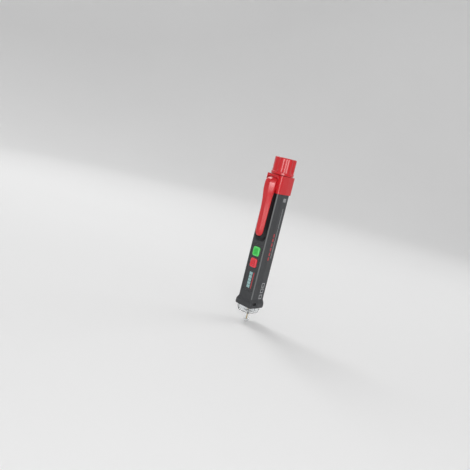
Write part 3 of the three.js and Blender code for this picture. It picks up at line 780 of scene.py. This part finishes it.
def helixPiece(name, coil, material):
    # a spiral along Z, swept by a round wire or by a four-sided ridge
    sizes = {key: coil[key] * mm for key in ("startRadius", "endRadius", "height", "startZ")}
    section = {key: value * mm for key, value in coil["section"].items()}
    others = {"turns": coil["turns"], "steps": coil["steps"], "material": material}
    shape = NodeShape(name, {**sizes, **section, **others})
    line = shape.make("GeometryNodeCurveSpiral", {}, {
        "Resolution": shape.given("steps"), "Rotations": shape.given("turns"),
        "Start Radius": shape.given("startRadius"), "End Radius": shape.given("endRadius"),
        "Height": shape.given("height"), "Reverse": True,
    })
    lift = shape.make("ShaderNodeCombineXYZ", {}, [0.0, 0.0, shape.given("startZ")])
    line = shape.make("GeometryNodeTransform", {}, {"Geometry": line, "Translation": lift})
    if "wire" in section:
        outline = shape.make("GeometryNodeCurvePrimitiveCircle", {}, {
            "Resolution": coil["sides"], "Radius": shape.given("wire"),
        })
    else:
        line = shape.make("GeometryNodeSetCurveNormal", {"mode": "Z_UP"}, {"Curve": line})
        outline = shape.make("GeometryNodeCurvePrimitiveQuadrilateral", {"mode": "TRAPEZOID"}, {
            "Height": shape.given("ridge"), "Bottom Width": shape.given("base"),
            "Top Width": shape.given("crest"), "Offset": 0.0,
        })
    swept = shape.make("GeometryNodeCurveToMesh", {}, {
        "Curve": line, "Profile Curve": outline, "Fill Caps": True,
    })
    return shape.built(swept)


shellLook = {
    "color": rgb(0.03, 0.032, 0.035), "colorFar": rgb(0.04, 0.042, 0.045), "driftScale": 40.0,
    "grainScale": 5200.0, "scuffScale": 260.0, "rough": 0.44, "roughGrain": 0.16, "roughScuff": 0.14,
    "bump": 0.35, "bumpDepth": 0.00003,
}
redLook = {
    "color": rgb(0.6, 0.005, 0.011), "colorFar": rgb(0.52, 0.004, 0.009), "driftScale": 60.0,
    "grainScale": 3800.0, "scuffScale": 300.0, "rough": 0.3, "roughGrain": 0.08, "roughScuff": 0.12,
    "bump": 0.2, "bumpDepth": 0.00002, "coat": 0.35, "coatRough": 0.2,
}
panelLook = {
    "color": rgb(0.014, 0.015, 0.017), "colorFar": rgb(0.02, 0.021, 0.024), "driftScale": 50.0,
    "grainScale": 3000.0, "scuffScale": 420.0, "rough": 0.2, "roughGrain": 0.05, "roughScuff": 0.12,
    "bump": 0.12, "bumpDepth": 0.00001, "coat": 0.4, "coatRough": 0.1,
}
metalLook = {"roughStreak": 0.25, "streakScale": 900.0, "bump": 0.25, "bumpDepth": 0.00002}
steelLook = {
    **metalLook, "color": rgb(0.66, 0.67, 0.69), "colorFar": rgb(0.56, 0.57, 0.6), "rough": 0.28,
    "streakStretch": (1, 1, 0.15), "spotScale": 180.0,
}
brassLook = {
    **metalLook, "color": rgb(0.78, 0.58, 0.28), "colorFar": rgb(0.62, 0.44, 0.2), "rough": 0.3,
    "streakStretch": (1, 0.2, 1), "spotScale": 200.0,
}
inkRed = rgb(0.5, 0.03, 0.04)
inkWhite = rgb(0.5, 0.51, 0.52)
inkPale = rgb(0.3, 0.5, 0.5)
# light grey, painted as a highlight along the front corners
cornerHighlightGrey = rgb(0.2, 0.21, 0.21)
# near black, painted as shade inside the recess behind the clip
recessShadeColor = rgb(0.004, 0.004, 0.005)

# rows run across the pen, runs along it
sidePrint = {
    "side": 6.0, "soft": 0.06, "redRow": (-1.0, 0.8), "redRun": (63.0, 90.0), "redCover": 0.85, "step": 4.5,
    "stroke": 3.1, "ruleRow": (3.2, 3.75), "ruleRun": (65.0, 113.0), "ruleCover": 0.7,
    "squares": [27.0, 33.0, 38.5], "squareHalf": 2.1, "squareLine": 0.55, "squareY": 2.4,
    "endRow": (0.4, 4.6), "endRun": (119.0, 122.5), "endStep": 1.4, "endStroke": 0.8, "paleCover": 0.85,
}
cornerHighlight = {"corner": 16.85, "width": 0.3, "back": -5.0, "cover": 0.55}
recessShade = {"front": 0.7, "back": 4.0, "sideGap": 0.05, "cover": 0.75}


def squareOutlines(y, z):
    p = sidePrint

    def square(centre, half):
        row = (p["squareY"] - half, p["squareY"] + half)
        return patch(y, z, row, (centre - half, centre + half), p["soft"])

    squares = 0.0
    for centre in p["squares"]:
        outer = square(centre, p["squareHalf"])
        inner = square(centre, p["squareHalf"] - p["squareLine"])
        squares = (outer - inner).atLeast(squares)
    return squares


def sideMarks(tree):
    # plain rules and open squares on the side that faces +X, a painted highlight along the front corner and
    # painted shade in the recess
    x, y, z = tree.placeAxes()
    p = sidePrint
    side = x > p["side"]
    dashes = z.wrapped(p["step"]) < p["stroke"]
    red = patch(y, z, p["redRow"], p["redRun"], p["soft"]) * dashes * side
    rule = patch(y, z, p["ruleRow"], p["ruleRun"], p["soft"]) * side
    endMark = patch(y, z, p["endRow"], p["endRun"], p["soft"]) * (y.wrapped(p["endStep"]) < p["endStroke"])
    pale = (squareOutlines(y, z).atLeast(endMark) * side).capped()
    # painted highlight: a lighter grey band along the front corners, where the edge catches the light
    corner = ((x.size() - y - cornerHighlight["corner"]) / cornerHighlight["width"]).capped()
    cornerHighlightMask = corner * (y < cornerHighlight["back"]) * (z > noseZ + body["flareLength"])
    # painted shade: inside the recess behind the clip the casing is coloured near black
    inDepth = (y > frontY + recessShade["front"]) * (y < frontY + recessShade["back"])
    inWidth = x.size() < recess["half"] + recessShade["sideGap"]
    hollow = inDepth * inWidth * (z > recess["low"]) * (z < collarZ)
    return [
        (hollow * recessShade["cover"], recessShadeColor), (cornerHighlightMask * cornerHighlight["cover"], cornerHighlightGrey),
        (red * p["redCover"], inkRed), (rule * p["ruleCover"], inkWhite), (pale * p["paleCover"], inkWhite),
    ]


panelPrint = {
    "paleRow": (-1.7, 1.9), "accentRow": (3.1, 4.1), "run": (34.0, 49.5), "step": 3.1, "stroke": 2.7,
    "paleCover": 0.9, "accentCover": 0.8, "soft": 0.06,
}


def panelMarks(tree):
    # a pale row of bars and a thin red one below the keys
    x, y, z = tree.placeAxes()
    p = panelPrint
    bars = z.wrapped(p["step"]) < p["stroke"]
    pale = patch(x, z, p["paleRow"], p["run"], p["soft"]) * bars
    accent = patch(x, z, p["accentRow"], p["run"], p["soft"])
    return [(pale * p["paleCover"], inkPale), (accent * p["accentCover"], inkRed)]


def tinted(name, look, color, colorFar, **changes):
    # the same moulding in another colour
    return mouldedPlastic(name, {**look, "color": color, "colorFar": colorFar, **changes})


shellPlastic = mouldedPlastic("casing_plastic", shellLook, sideMarks)
redPlastic = mouldedPlastic("red_plastic", redLook)
panelPlastic = mouldedPlastic("panel_plastic", panelLook, panelMarks)
blackPlastic = tinted("black_plastic", shellLook, rgb(0.02, 0.02, 0.022), rgb(0.03, 0.03, 0.032))
ivoryPlastic = tinted("ivory_plastic", shellLook, rgb(0.7, 0.66, 0.55), rgb(0.62, 0.57, 0.46))
whitePlastic = tinted("white_plastic", shellLook, rgb(0.78, 0.78, 0.76), rgb(0.7, 0.7, 0.68))
sealRubber = tinted("seal_rubber", shellLook, rgb(0.016, 0.016, 0.017), rgb(0.024, 0.024, 0.025), rough=0.7)
chipEpoxy = tinted("chip_epoxy", shellLook, rgb(0.018, 0.018, 0.02), rgb(0.03, 0.03, 0.03), rough=0.55)
ceramicBody = tinted("ceramic_body", shellLook, rgb(0.42, 0.28, 0.15), rgb(0.34, 0.22, 0.11))
boardMask = tinted("board_mask", panelLook, rgb(0.012, 0.16, 0.05), rgb(0.01, 0.11, 0.04))
steel = plainMetal("plated_steel", steelLook)
brass = plainMetal("brass_sheet", brassLook)

keyLook = {
    "glowRimPower": 5.0, "glowRimShare": 1.1, "cloudScale": 420.0, "cloudShare": 0.3, "rough": 0.26,
    "roughCloud": 0.12, "coat": 0.3, "coatRough": 0.12, "under": 0.15, "underScale": 0.002,
    "grainScale": 2600.0, "bump": 0.12, "bumpDepth": 0.00002,
}


def glowingKeyMaterial(name, core, rim, glow, middle):
    # a tinted key with painted glow and no lamp behind it: colour and painted glow grow paler and brighter
    # towards its rim
    tree = Finish(name)
    look = keyLook
    x, y, z = tree.placeAxes()
    across = (x.size() / (keys["width"] / 2)).atLeast((z - middle).size() / (keys["height"] / 2))
    edge = (across.power(look["glowRimPower"]) * look["glowRimShare"]).capped()
    cloud = tree.noise(look["cloudScale"])
    color = tree.mixed((edge + (cloud - 0.5) * look["cloudShare"]).capped(), core, rim)
    # the key's colour is fed to emission as painted glow
    tree.feed(color=color, rough=look["rough"] + (cloud - 0.5) * look["roughCloud"], glow=color,
              glowStrength=glow, coat=look["coat"], coatRough=look["coatRough"], under=look["under"],
              underScale=look["underScale"])
    tree.bump(tree.noise(look["grainScale"], texture["grainDetail"]), look["bump"], look["bumpDepth"])
    return tree.material


clearLook = {
    "hazeScale": 900.0, "hazeDetail": 4.0, "hazeDark": 0.97, "roughHaze": 0.6, "waveScale": 240.0,
    "waveDetail": 2.0, "bump": 0.08, "bumpDepth": 0.00004,
}


def clearPlastic(name, tint, rough, clear, ior):
    tree = Finish(name)
    look = clearLook
    haze = tree.noise(look["hazeScale"], look["hazeDetail"])
    darker = rgb(*[c * look["hazeDark"] for c in tint[:3]])
    tree.feed(color=tree.mixed(haze, tint, darker), rough=rough + (haze - 0.5) * rough * look["roughHaze"],
              clear=clear, ior=ior)
    tree.bump(tree.noise(look["waveScale"], look["waveDetail"]), look["bump"], look["bumpDepth"])
    return tree.material


# the third number is the strength of the painted glow
greenKey = glowingKeyMaterial("green_key", rgb(0.02, 0.4, 0.05), rgb(0.14, 0.75, 0.18), 0.15, keyZ["power"])
redKey = glowingKeyMaterial("red_key", rgb(0.6, 0.015, 0.03), rgb(0.82, 0.06, 0.08), 0.06, keyZ["light"])
lensPlastic = clearPlastic("lens_plastic", rgb(0.94, 0.96, 0.97), 0.04, 1.0, 1.58)
ledClear = clearPlastic("led_clear", rgb(0.95, 0.96, 0.9), 0.06, 0.9, 1.52)
ledRed = clearPlastic("led_red", rgb(0.9, 0.1, 0.08), 0.1, 0.7, 1.52)
print("finishes done")

collar = {
    "fit": 0.2, "wall": 0.95, "plate": 1.5, "saddleHalf": 7.0, "saddleProud": 1.6, "saddleLift": 2.2,
    "saddleRadius": 2.4, "pocketHalf": 6.5, "pocketRadius": 2.2, "pocketBelow": 4, "clipGap": 0.35,
    "neck": 7.9, "bore": 6.7, "socketGap": 0.3, "slotHalf": 2.3, "slotY": 7.1, "edge": 0.28,
    "neckSides": 96, "boreSides": 72,
}
thread = {
    "lead": 3.0, "turns": 2.2, "height": 0.6, "root": 0.1, "base": 1.1, "crest": 0.5, "start": 2.6,
    "steps": 48,
}


def collarPiece():
    outer = bodyLoop(-(collar["fit"] + collar["wall"]))
    piece = skinned("collar", [[(p[0], p[1], z) for p in outer] for z in (collarZ, collarTopZ)])
    saddleFront = frontY - collar["fit"] - collar["wall"] - collar["saddleProud"]
    saddle = loopPoints(roundedRectangle(collar["saddleHalf"], collarZ + collar["saddleLift"], collarTopZ,
                                         collar["saddleRadius"]))
    pocket = loopPoints(roundedRectangle(collar["pocketHalf"], collarZ - collar["pocketBelow"],
                                         clipTopZ + collar["clipGap"], collar["pocketRadius"]))
    pocketBack = frontY - collar["fit"] - collar["clipGap"]
    slotX = (-collar["slotHalf"], collar["slotHalf"])
    add(piece, prism("saddle", saddle, saddleFront, frontY, "Y"),
        prism("neck", circle(collar["neck"], collar["neckSides"]), collarTopZ - collar["plate"], neckTopZ))
    cut(piece, prism("socket", bodyLoop(-collar["fit"]), collarZ - past, shellTopZ + collar["socketGap"]),
        prism("neck_bore", circle(collar["bore"], collar["boreSides"]), collarZ, neckTopZ + past),
        block("strip_slot", slotX, (0, collar["slotY"]), (collarZ, neckTopZ + past)),
        prism("clip_pocket", pocket, saddleFront - past, pocketBack, "Y"))
    return softened(piece, collar["edge"], segments=3)


def threadPiece():
    ridge = thread["height"] + thread["root"]
    middle = collar["neck"] - thread["root"] + ridge / 2
    return helixPiece("neck_thread", {
        "startRadius": middle, "endRadius": middle, "height": thread["lead"] * thread["turns"],
        "startZ": collarTopZ + thread["start"], "turns": thread["turns"], "steps": thread["steps"],
        "section": {"ridge": ridge, "base": thread["base"], "crest": thread["crest"]},
    }, redPlastic)


tailCollar = collarPiece()
neckThread = threadPiece()
print("collar done")

cap = {
    "radius": highCorner("end_cap").x - 0.25, "flutes": 8.0, "fluteDepth": 0.75, "fluteNarrowness": 1.6,
    "edge": 0.9, "rings": 60, "around": 192, "baseProud": 0.25, "baseHeight": 2.6, "baseLowRound": 0.4,
    "baseRound": 0.6, "boreGap": 0.35, "headroom": 0.3, "sealRadius": 9.55, "sealDepth": 1.8, "sharp": 42,
    "roundSteps": 6, "boreSides": 96, "sealSides": 20,
}


def flutedBody(material):
    # a round bar whose wall dips in a row of flutes, with a rounded top edge
    sizes = {
        "radius": cap["radius"], "height": capTopZ - capZ, "depth": cap["fluteDepth"], "edge": cap["edge"],
        "startZ": capZ,
    }
    shape = NodeShape("cap_skin", {
        **{key: value * mm for key, value in sizes.items()},
        "flutes": cap["flutes"], "around": cap["around"], "rings": cap["rings"], "material": material,
    })
    bar = shape.make("GeometryNodeMeshCylinder", {}, {
        "Vertices": shape.given("around"), "Side Segments": shape.given("rings"),
        "Radius": shape.given("radius"), "Depth": shape.given("height"),
    })
    x, y, z = shape.axes(shape.make("GeometryNodeInputPosition", {}, {}))
    height = shape.given("height")
    edge = shape.given("edge")
    angle = y.maths("ARCTAN2", x)
    wave = (angle * shape.given("flutes")).maths("COSINE")
    dip = (wave * 0.5 + 0.5).power(cap["fluteNarrowness"])
    rise = z + height * 0.5
    near = ((rise - height + edge) / edge).atLeast(0.0)
    turnIn = (1 - (1 - near * near).atLeast(0.0).maths("SQRT")) * edge
    across = (x * x + y * y).maths("SQRT")
    share = (across - dip * shape.given("depth") - turnIn) / across.atLeast(1e-6)
    place = shape.make("ShaderNodeCombineXYZ", {}, [x * share, y * share, rise + shape.given("startZ")])
    return shape.built(shape.make("GeometryNodeSetPosition", {}, {"Geometry": bar, "Position": place}))


def capPiece():
    piece = flutedBody(redPlastic)
    radius = cap["radius"] + cap["baseProud"]
    baseTop = capZ + cap["baseHeight"]
    base = loopPoints([
        (0, capZ, 0), (radius, capZ, cap["baseLowRound"]), (radius, baseTop, cap["baseRound"]),
        (0, baseTop, 0),
    ], cap["roundSteps"])
    add(piece, turned("cap_base", base, cap["around"]))
    innerTopZ = highCorner("tail_contact").z + cap["headroom"]
    bore = circle(collar["neck"] + cap["boreGap"], cap["boreSides"])
    sealSpace = circle(cap["sealRadius"], cap["boreSides"])
    cut(piece, prism("cap_bore", bore, capZ - past, innerTopZ),
        prism("seal_space", sealSpace, capZ - past, capZ + cap["sealDepth"]))
    return softened(piece, 0.0, sharp=cap["sharp"])


capSkin = capPiece()
print("cap done")


def lensShape(name, inset, raised, topZ):
    # the dome between the nub and the casing, on the casing's own outline
    rings = []
    outline = bodyLoop(inset)
    for k in range(lens["taperRings"] + 1):
        share = k / lens["taperRings"]
        scale = smoothAt(lens["taper"], share**2)
        z = lens["nubLength"] + raised + share**2 * (noseZ - lens["nubLength"])
        rings.append([(p[0] * scale, p[1] * scale, z) for p in outline])
    rings.append([(p[0], p[1], topZ) for p in outline])
    return skinned(name, rings)


nubEnd = {
    "chamfer": 0.8, "faceRound": 0.6, "rise": 1.6, "riseRound": 1.0, "draft": 0.1, "fillet": 1.4,
    "filletDrop": 1.0, "filletRound": 1.2, "inside": 0.3,
}


def lensPiece():
    nub = lens["nub"]
    top = lens["nubLength"]
    piece = lensShape("tip_light_guide", lens["inset"], 0, flangeTopZ)
    tip = turned("nub", loopPoints([
        (0, 0, 0), (nub - nubEnd["chamfer"], 0, nubEnd["faceRound"]),
        (nub, nubEnd["rise"], nubEnd["riseRound"]),
        (nub + nubEnd["draft"], top - nubEnd["filletDrop"], nubEnd["filletRound"]),
        (nub + nubEnd["fillet"], top + nubEnd["draft"], 0), (0, top + nubEnd["inside"], 0),
    ]))
    flange = prism("flange", bodyLoop(lens["inset"] - lens["flangeStep"]), flangeZ, flangeTopZ)
    add(piece, flange, tip)
    bore = circle(lens["nubBore"], lens["boreSides"])
    cut(piece, lensShape("inside", lens["inset"] + lens["wall"], lens["wall"], flangeTopZ + past),
        prism("nub_bore", bore, lens["nubFloor"], top + lens["wall"] + past))
    return softened(piece, 0.0, sharp=lens["sharp"])


def shadeEarPiece():
    # the two snap ears that hold the lens in the windows of the casing, coloured black as painted shade in
    # the windows
    edge = body["width"] / 2 - lens["inset"] + lens["flangeStep"]
    reach = edge + lens["earProud"]
    standOff = lens["earStandOff"]
    ys = (lens["earY"] - lens["earWidth"] / 2, lens["earY"] + lens["earWidth"] / 2)
    zs = (flangeZ, flangeTopZ)
    piece = block("snap_ears_painted_shade", (edge + standOff, reach), ys, zs)
    add(piece, block("left_ear", (-reach, -edge - standOff), ys, zs))
    return softened(piece, lens["earEdge"])


lensBody = lensPiece()
shadeEars = shadeEarPiece()


def sealPiece():
    lowest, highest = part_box("cap_seal")
    tube = (highest.z - lowest.z) / 2 / mm
    centre = (highest.x / mm - tube, (lowest.z + highest.z) / 2 / mm)
    piece = turned("seal_ring", circle(tube, cap["sealSides"], centre))
    piece.data.shade_smooth()
    return piece


cup = {"sheet": 0.45, "round": 0.5, "innerRound": 0.3, "roundSteps": 5, "sharp": 40}


def cupPiece():
    corner = highCorner("tail_contact")
    low = lowCorner("tail_contact").z
    inner = corner.x - cup["sheet"]
    ceiling = corner.z - cup["sheet"]
    profile = [(0, corner.z, 0), (corner.x, corner.z, cup["round"]), (corner.x, low, 0), (inner, low, 0),
               (inner, ceiling, cup["innerRound"]), (0, ceiling, 0)]
    piece = turned("contact_cup", loopPoints(profile, cup["roundSteps"]))
    return softened(piece, 0.0, sharp=cup["sharp"])


spring = {"wire": 0.4, "turns": 5.0, "lowRadius": 2.6, "highRadius": 4.4, "steps": 40, "sides": 10}


def springPiece():
    low = lowCorner("tail_spring").z + spring["wire"]
    high = highCorner("tail_spring").z - spring["wire"]
    piece = helixPiece("battery_spring", {
        "startRadius": spring["lowRadius"], "endRadius": spring["highRadius"], "height": high - low,
        "startZ": low, "turns": spring["turns"], "steps": spring["steps"], "sides": spring["sides"],
        "section": {"wire": spring["wire"]},
    }, steel)
    piece.data.shade_smooth()
    return piece


sealRing = sealPiece()
contactCup = cupPiece()
springWire = springPiece()

cell = {
    "nipple": 1.9, "nippleLength": 0.8, "nippleRound": 0.25, "shoulder": 0.9, "shoulderRise": 0.2,
    "shoulderRound": 0.4, "stepRound": 0.1, "endRound": 0.45, "crimp": 1.3, "crimpDepth": 0.35,
    "crimpRound": 0.15, "roundSteps": 5, "sharp": 40,
    "sleeveLow": 1.4, "sleeveShort": 0.7, "stripeTop": 11.5, "soft": 0.1,
    "blue": rgb(0.03, 0.06, 0.12), "blueFar": rgb(0.045, 0.08, 0.15), "gold": rgb(0.52, 0.4, 0.2),
    "goldFar": rgb(0.6, 0.48, 0.26), "steel": rgb(0.66, 0.67, 0.69), "rough": 0.26, "roughHaze": 0.12,
    "sleeveMetal": 0.55, "coat": 0.5, "coatRough": 0.08, "hazeScale": 160.0, "grainScale": 1400.0,
    "bump": 0.1, "bumpDepth": 0.00002,
}


def cellSleeve(name, node):
    # a printed foil sleeve in two plain colours, with bare steel at both ends
    tree = Finish(name)
    z = tree.placeAxes()[2]
    base = lowCorner(node).z
    length = highCorner(node).z - base
    rise = z - base
    sleeve = band(rise, cell["sleeveLow"], length - cell["sleeveShort"], cell["soft"])
    stripe = band(rise, cell["sleeveLow"], cell["stripeTop"], cell["soft"])
    haze = tree.noise(cell["hazeScale"])
    printed = tree.mixed(stripe, tree.mixed(haze, cell["blue"], cell["blueFar"]),
                         tree.mixed(haze, cell["gold"], cell["goldFar"]))
    color = tree.mixed(sleeve, cell["steel"], printed)
    tree.feed(color=color, metal=1.0 - sleeve * cell["sleeveMetal"],
              rough=cell["rough"] + haze * cell["roughHaze"], coat=sleeve * cell["coat"],
              coatRough=cell["coatRough"])
    tree.bump(tree.noise(cell["grainScale"]), cell["bump"], cell["bumpDepth"])
    return tree.material


def cellPiece(name, node):
    lowest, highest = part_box(node)
    radius = (highest.x - lowest.x) / 2 / mm
    base = lowest.z / mm
    top = highest.z / mm
    step = base + cell["nippleLength"]
    shoulder = radius - cell["shoulder"]
    floor = top - cell["crimpDepth"]
    profile = [
        (0, base, 0), (cell["nipple"], base, cell["nippleRound"]), (cell["nipple"], step, 0),
        (shoulder, step, cell["stepRound"]),
        (radius, step + cell["shoulderRise"], cell["shoulderRound"]),
        (radius, top, cell["endRound"]), (shoulder, top, cell["crimpRound"]),
        (radius - cell["crimp"], floor, cell["crimpRound"]), (0, floor, 0),
    ]
    piece = turned(name, loopPoints(profile, cell["roundSteps"]))
    movedBack(piece, (lowest.y + highest.y) / 2 / mm)
    return softened(piece, 0.0, sharp=cell["sharp"])


lampBody = {"rim": 0.25, "rimHeight": 1, "domeSteps": 10, "sides": 64, "sharp": 35}


def lampPiece(name, node):
    # a domed lamp with a rim at its foot; the dome looks down
    lowest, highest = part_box(node)
    radius = (highest.x - lowest.x) / 2 / mm - lampBody["rim"]
    tip = lowest.z / mm
    top = highest.z / mm
    rimLow = top - lampBody["rimHeight"]
    rimRadius = radius + lampBody["rim"]
    angles = [pi / 2 * (1 - k / lampBody["domeSteps"]) for k in range(lampBody["domeSteps"] + 1)]
    profile = [(radius * cos(a), tip + radius - radius * sin(a)) for a in angles]
    profile += [(radius, rimLow), (rimRadius, rimLow), (rimRadius, top), (0, top)]
    piece = turned(name, profile, lampBody["sides"])
    movedBack(piece, (lowest.y + highest.y) / 2 / mm)
    return softened(piece, 0.0, sharp=lampBody["sharp"])


frontCell = cellPiece("cell_one", "front_cell")
rearCell = cellPiece("cell_two", "rear_cell")
torchLamp = lampPiece("torch_lamp", "torch_led")
alarmLamp = lampPiece("alarm_lamp", "alarm_led")
print("inner parts done")

root = "tester_body"
dressed(frontShell, root, "shell_plastic", shellPlastic, "front_shell")
dressed(backShell, root, "shell_plastic", shellPlastic, "back_shell")
dressed(panelPiece, root, "panel_plastic", panelPlastic, "front_panel")
dressed(powerKey, "power_button", "green_key", greenKey, "power_button")
dressed(lightKey, "light_button", "red_key", redKey, "light_button")
dressed(powerMark, "power_button", "green_key", greenKey)
dressed(lightMark, "light_button", "red_key", redKey)
dressed(clipBlade, "clip", "red_plastic", redPlastic, "pocket_clip")
dressed(tailCollar, root, "red_plastic", redPlastic, "tail_collar")
dressed(neckThread, root, "red_plastic", redPlastic)
dressed(capSkin, "cap", "red_plastic", redPlastic, "end_cap")
dressed(lensBody, root, "clear_lens", lensPlastic, "tip_lens")
# the ears are black as painted shade in the casing's windows
dressed(shadeEars, root, "black_plastic", blackPlastic)
dressed(sealRing, root, "seal_rubber", sealRubber, "cap_seal")
dressed(contactCup, "cap_contact", "contact_brass", brass, "tail_contact")
dressed(springWire, "cap_contact", "spring_steel", steel, "tail_spring")
dressed(frontCell, root, "cell_label", cellSleeve("cell_sleeve_one", "front_cell"), "front_cell")
dressed(rearCell, root, "cell_label", cellSleeve("cell_sleeve_two", "rear_cell"), "rear_cell")
dressed(torchLamp, root, "led_clear", ledClear, "torch_led")
dressed(alarmLamp, root, "led_red", ledRed, "alarm_led")

# small inner parts that keep the frame's own shape
kept = {
    "power_switch": blackPlastic, "light_switch": blackPlastic, "power_switch_plunger": ivoryPlastic,
    "light_switch_plunger": ivoryPlastic, "circuit_board": boardMask, "lower_board_screw": steel,
    "upper_board_screw": steel, "controller_chip": chipEpoxy, "amplifier_chip": chipEpoxy,
    "filter_capacitor": ceramicBody, "key_light": ledClear, "buzzer": blackPlastic,
    "led_holder": whitePlastic, "sensor_antenna": brass, "front_contact": brass, "contact_strip": brass,
}
for node, material in kept.items():
    part = frame["nodes"][node]
    part.data.materials.clear()
    part.data.materials.append(material)
print("pieces dressed")

stage = {
    "floor": 1.3, "curve": 0.7, "curveSteps": 16, "wall": 2.4, "sides": 96, "color": rgb(0.72, 0.72, 0.72),
    "colorFar": rgb(0.75, 0.75, 0.75), "rough": 0.85, "roughHaze": 0.1, "hazeScale": 3.0, "glow": 0.1,
    "sky": 0.45,
}


def openBowl():
    # a flat round floor whose rim curves up into a wall on every side, in metres
    profile = [(0.0, 0.0), (stage["floor"] * 0.5, 0.0), (stage["floor"], 0.0)]
    for k in range(1, stage["curveSteps"] + 1):
        a = pi / 2 * k / stage["curveSteps"]
        profile.append((stage["floor"] + stage["curve"] * sin(a), stage["curve"] * (1 - cos(a))))
    profile.append((stage["floor"] + stage["curve"], stage["curve"] + stage["wall"]))
    points = []
    faces = []
    sides = stage["sides"]
    for radius, z in profile:
        points += [(x, y, z / mm) for x, y in circle(radius / mm, sides)]
    for level in range(len(profile) - 1):
        a = level * sides
        b = a + sides
        for k in range(sides):
            n = (k + 1) % sides
            faces.append((a + k, a + n, b + n, b + k))
    piece = newObject("floor", points, faces)
    piece.data.shade_smooth()
    return piece


def floorPaper():
    tree = Finish("floor_paper")
    haze = tree.noise(stage["hazeScale"], texture["driftDetail"])
    tree.feed(glow=rgb(1.0, 1.0, 1.0), glowStrength=stage["glow"],
              color=tree.mixed(haze, stage["color"], stage["colorFar"]),
              rough=stage["rough"] + (haze - 0.5) * stage["roughHaze"])
    return tree.material


floor = openBowl()
floor.data.materials.append(floorPaper())
floor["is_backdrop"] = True

world = bpy.data.worlds.new("studio")
bpy.context.scene.world = world
world.use_nodes = True
sky = world.node_tree.nodes["Background"]
sky.inputs["Color"].default_value = rgb(1.0, 1.0, 1.0)
sky.inputs["Strength"].default_value = stage["sky"]
bpy.context.scene.view_settings.view_transform = "Standard"

# place, size and power
lights = {
    "key": ((-0.95, 0.1, 1.2), (0.6, 0.6), 8.0),
    "front": ((0.68, -0.66, 0.24), (0.4, 0.34), 4.0),
    "back": ((0.3, 0.9, 0.8), (0.6, 0.4), 2.0),
}


def softLight(name, place, target, size, power):
    light = bpy.data.lights.new(name, "AREA")
    light.shape = "RECTANGLE"
    light.size = size[0]
    light.size_y = size[1]
    light.energy = power
    thing = bpy.data.objects.new(name, light)
    bpy.context.scene.collection.objects.link(thing)
    thing.location = Vector(place)
    thing.visible_camera = False
    thing.rotation_mode = "QUATERNION"
    thing.rotation_quaternion = (Vector(target) - Vector(place)).to_track_quat("-Z", "Y")


lowest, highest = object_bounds()
for name, (place, size, power) in lights.items():
    softLight(name, place, (lowest + highest) / 2, size, power)

shot = {
    "azimuth": 42.8, "elevation": 9.0, "distance": 0.52, "lens": 42.5, "sensor": 36, "near": 0.01, "far": 20,
    "roll": 13.55, "height": 0.08, "aside": -0.0288, "up": 0.0052,
}
camera = bpy.data.objects.new("camera", bpy.data.cameras.new("camera"))
bpy.context.scene.collection.objects.link(camera)
camera.data.sensor_width = shot["sensor"]
camera.data.lens = shot["lens"]
camera.data.clip_start = shot["near"]
camera.data.clip_end = shot["far"]
turn = radians(shot["azimuth"])
lift = radians(shot["elevation"])
back = Vector((sin(turn) * cos(lift), -cos(turn) * cos(lift), sin(lift)))
look = (-back).to_track_quat("-Z", "Y").to_matrix().to_4x4() @ Matrix.Rotation(radians(shot["roll"]), 4, "Z")
offset = Matrix.Translation((shot["aside"], shot["up"], shot["distance"]))
camera.matrix_world = Matrix.Translation((0, 0, shot["height"])) @ look @ offset
bpy.context.scene.camera = camera

print("scene done")
